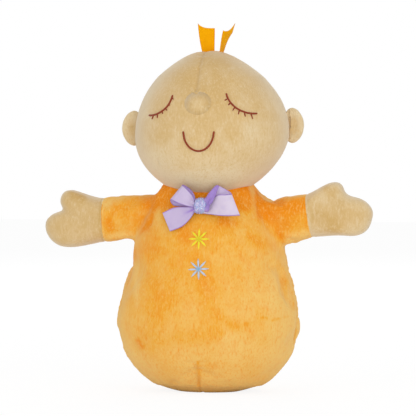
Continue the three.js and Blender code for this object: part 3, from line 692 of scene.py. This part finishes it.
def cut_piece(name, keep, material):
    """The part of the skin behind every plane, each a point and a normal."""
    piece = bmesh.new()
    piece.from_mesh(whole.data)
    for point, normal in keep:
        parts = piece.verts[:] + piece.edges[:] + piece.faces[:]
        bmesh.ops.bisect_plane(piece, geom=parts, dist=CUT, plane_co=point, plane_no=normal, clear_outer=True)
        rim = [edge for edge in piece.edges if edge.is_boundary]
        for cap in bmesh.ops.holes_fill(piece, edges=rim, sides=0)["faces"]:
            cap.material_index = 1
    made = mesh_object(name, piece, material)
    shading = []
    for face in made.data.polygons:
        flat = face.material_index == 1
        face.material_index = 0
        for index in face.vertices:
            _, nearest, _ = skin_points.find(made.data.vertices[index].co)
            shading.append(face.normal.copy() if flat else Vector(skin_normals[nearest]))
    made.data.normals_split_custom_set(shading)
    return made


def declared(piece, nodes, carried_by):
    """Hides the nodes a piece stands for, and hangs it on the body that carries it or bakes its place."""
    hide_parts(*nodes)
    if isinstance(carried_by, str):
        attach(piece, carried_by)
    else:
        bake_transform(piece)
    return piece


body_cloth = declared(
    cut_piece("body_cloth", ARMHOLE.values(), orange_plush),
    ("body_front_panel", "body_back_panel", "body_fill", "bean_pouch", "neck_fill"),
    ("torso", "neck", *NECK_BEND),
)
for name in SIDE:
    point, normal = ARMHOLE[name]
    rest = ARM_REST[name]
    along = Vector((SIDE[name] * math.cos(rest), 0, math.sin(rest)))
    cuff = SHOULDER[name] + along * CUFF_OUT[name]
    bend = point + normal * BEND_START
    root = cut_piece(f"sleeve_root_{name}", [(point, -normal), (bend, normal)], orange_plush)
    sleeve = cut_piece(f"sleeve_end_{name}", [(bend, -normal), (cuff, along)], orange_plush)
    hand = cut_piece(f"hand_{name}", [(cuff, -along)], tan_plush)
    shoulder, arm, cloth, stuffing = (f"{part}_{name}" for part in ("shoulder", "arm", "sleeve", "arm_fill"))
    across_root = ("torso", shoulder, point, bend)
    across_arm = (shoulder, arm, bend, point + normal * BEND_END)
    declared(root, (cloth, f"shoulder_fill_{name}"), across_root)
    declared(sleeve, (cloth, stuffing), across_arm)
    declared(hand, (f"hand_front_{name}", f"hand_back_{name}", stuffing), arm)
bpy.data.objects.remove(whole)

# Two stars are embroidered on the chest, one above the other, with eight rays of satin stitch each: three
# threads side by side for a ray, which cross at the middle.
STARS = {
    "yellow_star": ((199.0, 239.0), (244, 232, 46), (214, 192, 14), "yellow_thread", 0),
    "blue_star": ((198.5, 269.2), (202, 208, 222), (112, 168, 206), "blue_thread", 3),
}
STAR_RADIUS = 7.4 * MM
STAR_RAYS = 8
STAR_THREAD = 0.85 * MM
STAR_HEART = 1.7 * MM
STAR_FAN = math.radians(4)
THREAD_TWIST = 0.35 * MM
THREAD_RELIEF = 0.1 * MM
twist, given, result = effect("twisted thread", ["Main", "Deep"], ["Crossed"])
main, deep, crossed = given.outputs[:3]
strands = speckle(twist, THREAD_TWIST, 1, (1, 0.4, 1))
shade = mixed(twist, between(twist, strands, 0.35, 0.7), main, deep, 0.45)
wire(twist, result, {"Colour": mixed(twist, crossed, shade, deep), "Height": strands})


def thread(name, main, deep, specular=0.3):
    """Embroidery thread: twisted strands with a soft shine."""
    return patterned(name, twist, (main, deep), 0.5, THREAD_RELIEF, 0.55, specular, 0.2, 0.5)[0]


def shown_at(surface, pixel):
    """Where a surface shows at a pixel, and the ways right and up along it."""
    centre, normal, _, _ = surface.ray_cast(*sight(*pixel))
    right = Vector((0, 0, 1)).cross(normal).normalized()
    return centre, right, normal.cross(right)


def surface_of(made):
    """A piece's surface, for finding places on it."""
    return BVHTree.FromPolygons(
        [vert.co for vert in made.data.vertices], [face.vertices[:] for face in made.data.polygons]
    )


def stitch(source, surface, start, end, width, proud=0.25):
    """Lays a spindle of thread on a surface between two places."""
    a, a_normal, _, _ = surface.find_nearest(start)
    b, b_normal, _, _ = surface.find_nearest(end)
    outward = (a_normal + b_normal).normalized()
    ball = sphere(source, 10, 8)
    along = b - a
    side = along.cross(outward).normalized()
    outward = side.cross(along).normalized()
    laid = Matrix((side * width / 2, outward * width / 2, along / 2)).transposed().to_4x4()
    laid.translation = (a + b) / 2 + outward * width * proud
    for vert in ball:
        bulge = 1 - vert.co.z**2
        if bulge > 0.01:
            vert.co.xy = vert.co.xy * bulge**-0.2
    bmesh.ops.transform(source, matrix=laid, verts=ball)


chest = surface_of(body_cloth)
for name, (middle, main, deep, slot_name, turn) in STARS.items():
    centre, right, up = shown_at(chest, middle)
    star = bmesh.new()
    for ray in range(STAR_RAYS):
        for fan in (-1, 1, 0):
            angle = math.tau * ray / STAR_RAYS + fan * STAR_FAN + math.radians(turn)
            reach = (right * math.cos(angle) + up * math.sin(angle)) * STAR_RADIUS * (1 - 0.2 * abs(fan))
            stitch(star, chest, centre - reach * 0.08, centre + reach, STAR_THREAD, 0.3 + 0.2 * (ray % 2))
    made = mesh_object(f"{name}_thread", star, thread(slot_name, main, deep))
    painted(made, crossed=bell(np.linalg.norm(coordinates(made) - np.array(centre), axis=1), STAR_HEART))
    declared(made, (name,), "torso")


# The head is a ball of tan plush, cut as one face panel and two back panels, sewn from ear to ear over the
# crown, down the back, and up the forehead from the nose, and stuffed firm.
HEAD_MIDDLE = Vector((3, -6, 178.5)) * MM
HEAD_HALF_WIDTH = 54 * MM
HEAD_HALF_DEPTH = 46 * MM
HEAD_UP = 58.8 * MM
HEAD_DOWN = 42.6 * MM
HEAD_RISES = [-1, -0.9, -0.8, -0.55, -0.25, 0, 0.15, 0.4, 0.7, 0.9, 1]
HEAD_SIDES = {
    1: [0.74, 0.77, 0.86, 0.915, 0.968, 1.01, 1.015, 1.0, 0.945, 0.85, 0.81],
    -1: [0.93, 0.92, 0.97, 0.975, 0.975, 0.975, 0.975, 0.962, 0.945, 0.89, 0.87],
}
HEAD_SEAM_Y = 1 * MM
HEAD_BACK_SEAM_X = 3 * MM
FOREHEAD_SEAM_X = 0.5 * MM
FOREHEAD_SEAM_FOOT = 210.5 * MM
CHEEK_CREASE = (-28, -40, 172, -27, -39, 158)
CREASE_WIDTH = 1 * MM
CREASE_DEPTH = 0.35 * MM
HEAD_SLACK = 0.015
HEAD_MOST = 1.6 * MM
HEAD_SEAM_DEPTH = 0.9 * MM
CROWN_RISE = 0.6
# The chin is painted paler, a painted light from below.
HEAD_NAP, CROWN_NAP, CHIN_NAP = 0.14, 0.2, 0.3
# Marks of deeper or paler nap on the face: partly its own tone, partly painted light, such as the paler line along
# the chin.
FACE_MARKS = [
    (188, 82, 200, 92, 14, 0.16), (206, 60, 222, 66, 10, 0.12), (152, 78, 140, 108, 9, -0.22),
    (158, 64, 176, 60, 8, -0.2), (238, 92, 246, 100, 8, -0.14), (250, 130, 262, 142, 10, -0.16),
    (216, 136, 232, 150, 10, -0.12), (158, 160, 170, 164, 8, -0.15), (150, 118, 152, 124, 6, -0.12),
    (184, 179, 228, 179, 7, -0.5),
]


def egg(fineness):
    """The head's form as a ball of even triangles."""
    source = bmesh.new()
    ball = bmesh.ops.create_icosphere(source, subdivisions=fineness, radius=1)["verts"]
    for vert in ball:
        x, y, z = vert.co
        width = np.interp(z, HEAD_RISES, HEAD_SIDES[1 if x > 0 else -1])
        vert.co = HEAD_MIDDLE + Vector((
            x * width * HEAD_HALF_WIDTH, y * HEAD_HALF_DEPTH, z * (HEAD_UP if z > 0 else HEAD_DOWN)
        ))
    bmesh.ops.smooth_vert(source, verts=source.verts, factor=0.5, use_axis_x=True, use_axis_y=True, use_axis_z=True)
    return source


def head_seams(places, width):
    """1 on the head's seams, falling over a width."""
    x, y, z = places.T
    back = bell(x - HEAD_BACK_SEAM_X, width) * (y > HEAD_SEAM_Y)
    forehead = bell(x - FOREHEAD_SEAM_X, width) * (y < HEAD_SEAM_Y)
    forehead *= bell(np.minimum(z - FOREHEAD_SEAM_FOOT, 0), 1.5 * MM)
    return np.maximum.reduce([bell(y - HEAD_SEAM_Y, width), back, forehead * 0.7])


def face_brush(places):
    """How much deeper the head's nap lies at the crown, with the chin painted paler, a painted light from below."""
    rise = (places[:, 2] - HEAD_MIDDLE.z) / HEAD_UP
    deeper = rise * HEAD_NAP + np.clip(rise - CROWN_RISE, 0, 1) * CROWN_NAP
    return deeper - np.clip(-rise, 0, 1) * CHIN_NAP + brushed_at(places, FACE_MARKS)


ball = mesh_object("head_bag", egg(5), tan_plush)
swelling = stuffed(ball, head_seams(coordinates(ball), SEAM_HOLD), HEAD_SLACK, HEAD_MOST)
bpy.data.objects.remove(ball)
head = mesh_object("head_cloth", egg(7), tan_plush)
places = swollen(head, *swelling)
seam = head_seams(places, SEAM_WIDTH * 0.8)
raised = relief(places, head_seams(places, PUCKER_REACH) * 0.6, (3.1, 5.2), 0.7)
crease = bell(off_segment(places, CHEEK_CREASE, MM), CREASE_WIDTH)
raised -= crease * CREASE_DEPTH
reshaped(head, places + coordinates(head, "normal") * (raised - seam * HEAD_SEAM_DEPTH)[:, None])
# Seams and the cheek crease are painted darker: stitches and painted shade in the seam grooves, painted shade in the
# crease.
painted(head, seam=np.clip(seam * 0.4 + crease * 0.25, 0, 1), brushed=face_brush(places))
head_nodes = ("face_panel", "head_back_panel_left", "head_back_panel_right", "head_fill")
declared(head, head_nodes, "head")
face = surface_of(head)

# The nose is a pinch of stuffing in a round of the same plush, sewn flush into the face at the foot of the
# forehead seam. Its gathers show as faint arcs of nap brushed paler or deeper.
NOSE_SPOT = (197.3, 102.6)
NOSE_HALF_WIDTH = 8.6 * MM
NOSE_HALF_HEIGHT = 7.4 * MM
NOSE_PROUD = 1.8 * MM
NOSE_CLOTH = 0.9 * MM
NOSE_RIM = 1.26
NOSE_FOOT = 1.22
NOSE_SUNK = 0.05
NOSE_RINGS = 30
NOSE_RING = 1.0
NOSE_RING_WIDTH = 0.25
NOSE_RING_NAP = 0.3
NOSE_MARKS = [
    (191, 98, 197.5, 103.5, 1, -0.4), (189.5, 104.5, 201, 107, 2, -0.35), (208.3, 97, 209.3, 103, 2, 0.35),
    (209.3, 103, 206.5, 108, 2, 0.35), (201, 113.5, 208, 111.5, 1.1, -0.35), (188, 109, 197, 113, 2, 0.25),
    (200, 97, 204, 101, 2, 0.15),
]
nose = bmesh.new()
centre, right, up = shown_at(face, NOSE_SPOT)
bmesh.ops.create_circle(nose, cap_ends=True, cap_tris=False, segments=96, radius=NOSE_RIM)
middle = nose.faces[:]
for step in range(NOSE_RINGS):
    bmesh.ops.inset_region(nose, faces=middle, thickness=NOSE_RIM / (NOSE_RINGS + 1), depth=0)
bmesh.ops.poke(nose, faces=middle)
for vert in nose.verts:
    dome = max(1 - (vert.co.xy.length / NOSE_FOOT) ** 2, 0) ** 1.6 - NOSE_SUNK
    spot = centre + right * vert.co.x * NOSE_HALF_WIDTH + up * vert.co.y * NOSE_HALF_HEIGHT
    foot, foot_normal, _, _ = face.find_nearest(spot)
    vert.co = foot + foot_normal * NOSE_PROUD * dome
made = mesh_object("nose_cloth", nose, tan_plush)
adjusted(made.modifiers.new("cloth", "SOLIDIFY"), thickness=NOSE_CLOTH, offset=-1)
applied(made)
places = coordinates(made)
spots = (places - np.array(centre)) @ np.array([right / NOSE_HALF_WIDTH, up / NOSE_HALF_HEIGHT]).T
ring = bell(np.linalg.norm(spots, axis=1) - NOSE_RING, NOSE_RING_WIDTH) * NOSE_RING_NAP
painted(made, seam=np.zeros(len(places)), brushed=face_brush(places) + brushed_at(places, NOSE_MARKS) + ring)
declared(made, ("nose",), "head")

# Each ear is two layers of plush sewn round the edge, turned and lightly stuffed, with its front drawn in
# beside the head in a short fold. Its straight root is caught in the head's side seam.
EAR_RISE = {"left": 7.5 * MM, "right": 5.3 * MM}
EAR_ROOT = 51.5 * MM
EAR_REACH = 13.3 * MM
EAR_HALF_HEIGHT = 12.3 * MM
EAR_HALF_DEPTH = 3.6 * MM
EAR_BEND = (1.5 * MM, 5 * MM)
EAR_MIDDLE = 0.36
EAR_INNER = 0.5
EAR_TAPER = 0.12
EAR_UNIT = np.array((1, EAR_HALF_HEIGHT / EAR_REACH))
EAR_HOLLOW = (0.5, 0.1, 0.3, 0.5, 1.2)
EAR_FOLDS = {
    "left": [
        (0.14, 0.95, 0.24, 0.45, 0.06, 0.8), (0.24, 0.45, 0.25, -0.1, 0.07, 2.2), (0.25, -0.1, 0.24, -0.7, 0.05, 0.7),
    ],
    "right": [(0.3, 0.5, 0.36, 0.1, 0.1, 0.5), (0.36, 0.1, 0.6, 0.06, 0.06, 1.3)],
}


for name, side in SIDE.items():
    ear = bmesh.new()
    ball = sphere(ear, 160, 96)
    balls = np.array([vert.co for vert in ball])
    out = EAR_MIDDLE + balls[:, 0] * np.where(balls[:, 0] > 0, 1 - EAR_MIDDLE, EAR_INNER)
    rise = balls[:, 2] * (1 - EAR_TAPER * np.maximum(out - 0.4, 0))
    spots = np.stack([out, rise], axis=1) * EAR_UNIT
    front = np.clip(-balls[:, 1] * 4, 0, 1)
    dip_out, dip_rise, wide, tall, depth = EAR_HOLLOW
    dip = depth * bell(out - dip_out, wide) * bell(rise - dip_rise, tall) * front
    fold = np.zeros(len(balls))
    for *ends, width, depth in EAR_FOLDS[name]:
        mark = bell(off_segment(spots, ends, EAR_UNIT), width) * front
        dip = np.maximum(dip, depth * mark)
        fold = np.maximum(fold, mark * depth / 2)
    edge = bell(1 - np.hypot(balls[:, 0], balls[:, 2]), 0.06)
    thick = np.sign(balls[:, 1]) * np.abs(balls[:, 1]) ** 0.75 * EAR_HALF_DEPTH * (1 - 0.15 * edge)
    places = np.stack([
        HEAD_MIDDLE.x + side * (EAR_ROOT + out * EAR_REACH),
        HEAD_SEAM_Y + thick + dip * MM - out * 1.5 * MM,
        HEAD_MIDDLE.z + EAR_RISE[name] + rise * EAR_HALF_HEIGHT,
    ], axis=1)
    for vert, place in zip(ball, places):
        vert.co = place
    bmesh.ops.recalc_face_normals(ear, faces=ear.faces)
    made = mesh_object(f"ear_{name}_cloth", ear, tan_plush)
    uneven = ripple(places, PUCKER_SIZE) * PUCKER_HEIGHT * 0.5
    reshaped(made, places + coordinates(made, "normal") * uneven[:, None])
    inner = bell(out - 0.4, 0.3) * bell(rise, 0.6) * front
    # The fold is painted darker, a painted shade in its crease; the ear is paler all over and deeper in its middle.
    painted(made, seam=fold * 0.3, brushed=0.35 * inner - 0.35)
    fold_line = [HEAD_MIDDLE + Vector((side * (EAR_ROOT + out), 0, 0)) for out in EAR_BEND]
    declared(made, (f"ear_{name}",), ("head", f"ear_{name}", *fold_line))

# The closed eyes and the smile are embroidered through the face in brown thread: a line of short overlapping
# stitches, with single slanted stitches for the lashes.
EYE_THREAD = 1.35 * MM
LASH_THREAD = 0.95 * MM
SMILE_THREAD = 1.45 * MM
STITCH_PITCH = 1.5 * MM
STITCH_LENGTH = 3.2 * MM
EMBROIDERY = [
    (
        "eye_right_thread", "eye_stitching_right", EYE_THREAD,
        [(172.6, 96.2), (171.2, 100), (169.2, 104.1), (165.8, 108.3), (161.6, 111.6), (157.4, 114), (152.8, 115.4),
         (149.8, 115.4)],
        [(172.2, 98, 173.6, 99.4), (169, 104.2, 169.8, 105.8), (165.6, 108.2, 167.2, 110.6),
         (162.4, 111, 162.8, 114), (157.8, 113.6, 157.4, 118.2), (154, 115.2, 152, 119.4)],
    ),
    (
        "eye_left_thread", "eye_stitching_left", EYE_THREAD,
        [(226.4, 94.4), (227.8, 98.4), (231, 103.4), (235.5, 107.6), (241, 110.9), (247, 112.9), (252, 113.6),
         (256.2, 113.6)],
        [(227.2, 99, 224.6, 100.5), (230.4, 102.8, 228.1, 105.3), (235, 107.2, 232.5, 110.7),
         (239.2, 110.2, 238.2, 114.5), (244.2, 112.4, 245.3, 116.8), (250.6, 113.4, 252.7, 119.2),
         (255.6, 112.6, 256.4, 114.6)],
    ),
    (
        "smile_thread", "smile_stitching", SMILE_THREAD,
        [(183.4, 132.4), (184.9, 140.2), (188.6, 146.4), (193.4, 149.8), (198.8, 151), (204.4, 149.5),
         (209.4, 145.2), (212.6, 138.8), (213.8, 132.4)],
        [],
    ),
]


def on_face(*pixel):
    """The place on the face that shows at a pixel."""
    return shown_at(face, pixel)[0]


def stitched_line(source, line, width):
    """Overlapping stitches along a line of places on the face."""
    length = sum((b - a).length for a, b in zip(line, line[1:]))
    spots = [Vector(p) for p in smooth_line(line, round(length / STITCH_PITCH))]
    for here, ahead in zip(spots, spots[1:]):
        reach = (ahead - here).normalized() * STITCH_LENGTH / 2
        middle = (here + ahead) / 2
        stitch(source, face, middle - reach, middle + reach, width)


brown_thread = thread("brown_thread", (146, 58, 24), (110, 38, 12), specular=0.2)
for name, node, width, line, lashes in EMBROIDERY:
    sewn = bmesh.new()
    stitched_line(sewn, [on_face(*spot) for spot in line], width)
    for lash in lashes:
        stitch(sewn, face, on_face(*lash[:2]), on_face(*lash[2:]), LASH_THREAD)
    declared(mesh_object(name, sewn, brown_thread), (node,), "head")

# The tuft is the two ends of one folded orange ribbon that stand out of the crown seam, one facing forward
# and one turned aside, each cut off in a shallow hollow curve.
RIBBON_RIB = 0.45
RIB_RELIEF = 0.08 * MM
SHEEN_PATCH = 5 * MM
RIBBON_THICKNESS = 0.35 * MM
TUFT_ENDS = {
    "right": [
        (202.8, 54.5, -6.5, 214.5, 54, -5.5), (200.4, 44, -6.9, 214.6, 43, -5.2), (198.9, 34, -7.6, 214.8, 34, -5.2),
        (197.8, 23.4, -8.8, 214.8, 28.2, -5.8),
    ],
    "left": [
        (219.4, 54.5, -9.8, 222.9, 54, -0.6), (220.8, 44, -10.4, 226.6, 43, -0.4), (222, 36, -11, 230.8, 34, -0.6),
        (223.2, 30.4, -11.4, 235, 23.4, -1.4),
    ],
}
TUFT_NOTCH = 2.4 * MM
weave, given, result = effect("woven ribbon", ["Main", "Deep", "Edge"], ["Across", "Shadow"])
main, deep, edge, across, shadow = given.outputs[:5]
shade = mixed(weave, between(weave, speckle(weave, SHEEN_PATCH, 3), 0.35, 0.75), main, deep, 0.16)
shade = mixed(weave, shadow, shade, deep, 0.9)
shade = mixed(weave, between(weave, across, 0.88, 0.97), shade, edge, 0.8)
along = add(weave, "UVMap", uv_map="ribbon")
ribs = add(weave, "TexWave", {"Vector": along, "Scale": 1 / RIBBON_RIB / math.tau, "Distortion": 0.4})
wire(weave, result, {"Colour": shade, "Height": ribs.outputs["Fac"]})


def ribbon_cloth(name, main, deep, edge, roughness, ribbing, specular):
    """Ribbon with ribs, woven edges and painted shade in its folds."""
    shine = (roughness, specular, specular / 2, 0.3)
    return patterned(name, weave, (main, deep, edge), ribbing, RIB_RELIEF, *shine)[0]


def seen_stations(rows, corner=(0, 0), zoom=1):
    """A ribbon's low and high edge, from pixels and depths."""
    across, down = corner
    return [
        [seen_at(across + x / zoom, down + y / zoom, depth * MM) for x, y, depth in (row[:3], row[3:])]
        for row in rows
    ]


def ribbon(name, stations, material, steps=60, widths=16, pleats=None, shadow=None):
    """A strip of ribbon between two edges, with pleats and shadows."""
    low = smooth_line([low for low, _ in stations], steps + 1)
    high = smooth_line([high for _, high in stations], steps + 1)
    lengths = np.concatenate([[0], np.cumsum(np.linalg.norm(np.diff((low + high) / 2, axis=0), axis=1))])
    strip = bmesh.new()
    uv_map = strip.loops.layers.uv.new("ribbon")
    bmesh.ops.create_grid(strip, x_segments=steps, y_segments=widths, size=1)
    spots = {vert: (round((vert.co.x + 1) / 2 * steps), (vert.co.y + 1) / 2) for vert in strip.verts}
    for panel in strip.faces:
        for loop in panel.loops:
            step, share = spots[loop.vert]
            loop[uv_map].uv = (lengths[step] / MM, share)
    for vert, (step, share) in spots.items():
        before, after = max(step - 1, 0), min(step + 1, steps)
        along = Vector(low[after] + high[after] - low[before] - high[before])
        facing = along.cross(Vector(high[step] - low[step])).normalized()
        vert.co = Vector(low[step] * (1 - share) + high[step] * share)
        if pleats:
            vert.co += facing * pleats(step / steps, share)
    marks = list(spots.values())
    made = mesh_object(name, strip, material)
    painted(
        made,
        across=np.array([abs(share * 2 - 1) for _, share in marks]),
        shadow=np.array([float(shadow(step / steps, share)) for step, share in marks]),
    )
    adjusted(made.modifiers.new("cloth", "SOLIDIFY"), thickness=RIBBON_THICKNESS, offset=0)
    applied(made)
    return made


def tuft_shadow(step, share):
    """The darker foot of the tuft's ends."""
    return max(0, 0.45 - step) * 0.9


orange_ribbon = ribbon_cloth("orange_ribbon", (242, 170, 0), (226, 136, 0), (236, 156, 0), 0.6, 0.04, 0.04)
for name, rows in TUFT_ENDS.items():
    stations = seen_stations(rows)
    made = ribbon(f"tuft_{name}_ribbon", stations, orange_ribbon, steps=30, shadow=tuft_shadow)
    tops = coordinates(made)
    root = (stations[0][0] + stations[0][1]) / 2
    tip_low, tip_high = (np.array(corner) for corner in stations[-1])
    share = np.clip((tops - tip_low) @ (tip_high - tip_low) / np.sum((tip_high - tip_low) ** 2), 0, 1)
    lift = np.clip((tops[:, 2] - root.z) / (tip_low[2] - root.z), 0, 1)
    tops[:, 2] -= TUFT_NOTCH * 4 * share * (1 - share) * np.clip(lift * 3 - 2, 0, 1) ** 2
    reshaped(made, tops)
    bend = [JOINT[f"tuft_{name}_bend"] + Vector((0, 0, rise)) * MM for rise in (-1, 5)]
    declared(made, (f"tuft_ribbon_{name}",), ("head", f"tuft_{name}", *bend))

# The bow is one satin ribbon laid in two loops with two cut ends, and a second short piece of glitter ribbon
# gathered tight round its middle and sewn to the collar under the chin.
BOW_VIEW = {"corner": (125, 170), "zoom": 7}
PLEAT_HEIGHT = 0.7 * MM
PLEAT_REACH = 0.16
lilac_satin = ribbon_cloth("lilac_satin", (210, 197, 217), (150, 118, 200), (150, 112, 200), 0.35, 0.2, 0.35)
BOW = {
    "bow_loop_right": [
        (488, 262, -37.4, 490, 214, -37.6), (440, 254, -40.6, 462, 168, -40.8), (378, 234, -42.2, 425, 126, -41.6),
        (334, 214, -41.4, 408, 110, -40.8), (318, 207, -39, 402, 104, -38.2), (324, 232, -36.8, 414, 106, -36),
        (352, 252, -36, 449, 127, -35.2), (420, 258, -35.8, 480, 163, -35.4), (490, 268, -36.4, 493, 205, -36.4),
    ],
    "bow_loop_left": [
        (556, 292, -38.2, 556, 200, -37.8), (586, 288, -39.4, 570, 190, -38.6), (592, 248, -40.8, 584, 166, -39.4),
        (608, 230, -41.6, 600, 147, -39.8), (626, 194, -42, 615, 130, -39.8), (640, 160, -41.6, 628, 116, -39.4),
        (636, 158, -40, 640, 107, -38.8), (626, 200, -38.6, 652, 108, -37.8), (650, 230, -37.6, 680, 122, -37.2),
        (700, 240, -37.2, 712, 140, -37.2), (726, 262, -37.4, 745, 163, -37.6), (716, 268, -35.6, 724, 180, -35.6),
        (660, 268, -34.8, 665, 200, -34.8), (600, 268, -35, 600, 210, -35), (562, 266, -36, 562, 220, -36),
    ],
    "bow_tail_right": [
        (487, 292, -37.4, 483, 262, -37.6), (452, 346, -37.6, 430, 258, -38.6), (395, 398, -37.6, 345, 263, -38.2),
        (315, 430, -37, 262, 300, -37.4),
    ],
    "bow_tail_left": [
        (545, 303, -36.6, 550, 262, -36.6), (600, 311, -38.2, 590, 215, -37.4), (650, 318, -40.2, 648, 175, -40.6),
        (720, 322, -40.2, 705, 172, -40.6), (805, 318, -38.4, 747, 168, -38.8),
    ],
}
BOW_SHADOWS = {
    "bow_loop_right": lambda step, share: (
        0.25 + min(max(0, (step - 0.5) * 8), 1) * (0.2 if share < 0.16 else 0.85 - 0.45 * share)
    ),
    "bow_loop_left": lambda step, share: min(0.7 + step * 4, 1) if step < 0.34 else 0.3,
    "bow_tail_right": lambda step, share: (
        0.3 + max(0, 0.5 - step) * 0.5 + 0.9 * max(0, 1 - step / 0.45) * bell(share - 0.55, 0.09)
    ),
    "bow_tail_left": lambda step, share: 0,
}


def pleats_of(name):
    """How far a loop or tail is pleated out, most in the knot."""
    def pleats(step, share):
        off_knot = min(step, 1 - step) if "loop" in name else step
        return PLEAT_HEIGHT * math.sin(share * 3 * math.pi) * float(bell(off_knot, PLEAT_REACH))
    return pleats


for name, rows in BOW.items():
    stations = seen_stations(rows, **BOW_VIEW)
    made = ribbon(name, stations, lilac_satin, pleats=pleats_of(name), shadow=BOW_SHADOWS[name])
    if "loop" in name:
        declared(made, ("bow_loops",), ("torso", "neck", (0, 0, 130 * MM), (0, 0, 152 * MM)))
    else:
        declared(made, ("bow_tails",), "torso")

KNOT_SPOT = (125 + 528 / 7, 170 + 250 / 7, -36.8 * MM)
KNOT_HALF_WIDTH = 4.2 * MM
KNOT_FLARE = 0.6 * MM
KNOT_HALF_HEIGHT = 6.2 * MM
KNOT_HALF_DEPTH = 3.6 * MM
KNOT_FOLDS = 5
FLAKE = 0.85 * MM
FLAKE_RELIEF = 0.15 * MM
knot = bmesh.new()
knot_middle = seen_at(*KNOT_SPOT)
for vert in sphere(knot, 80, 48):
    x, y, z = vert.co
    tall = math.hypot(y, z) ** 0.45
    angle = math.atan2(y, z)
    fold = 1 + 0.045 * math.cos(KNOT_FOLDS * math.pi * x)
    vert.co = knot_middle + Vector((
        x * KNOT_HALF_WIDTH + KNOT_FLARE * math.cos(angle) * tall,
        math.sin(angle) * tall * KNOT_HALF_DEPTH * fold,
        math.cos(angle) * tall * KNOT_HALF_HEIGHT * fold * (0.9 + 0.1 * x * x),
    ))
bmesh.ops.recalc_face_normals(knot, faces=knot.faces)
glitter, tree = blank("glitter_ribbon")
place = add(tree, "TexCoord").outputs["Object"]
flakes = add(tree, "TexVoronoi", {"Vector": place, "Scale": 1 / FLAKE}).outputs
ramp = add(tree, "ValToRGB", {"Fac": flakes["Color"]})
# The flakes run from violet through lilac and blue to near white: their own colours, with painted glints among the
# palest.
ramp.color_ramp.elements[0].color = colour(134, 116, 184)
ramp.color_ramp.elements[1].color = colour(232, 242, 246)
for share, code in ((0.35, (174, 164, 212)), (0.6, (150, 182, 222)), (0.8, (204, 200, 226))):
    ramp.color_ramp.elements.new(share).color = colour(*code)
bump = add(tree, "Bump", {"Strength": 0.6, "Distance": FLAKE_RELIEF, "Height": flakes["Distance"]})
wire(tree, tree.nodes["Principled BSDF"], {"Roughness": 0.35, "Base Color": ramp, "Normal": bump})
declared(mesh_object("bow_knot", knot, glitter), ("bow_knot_band",), "torso")

low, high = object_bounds()
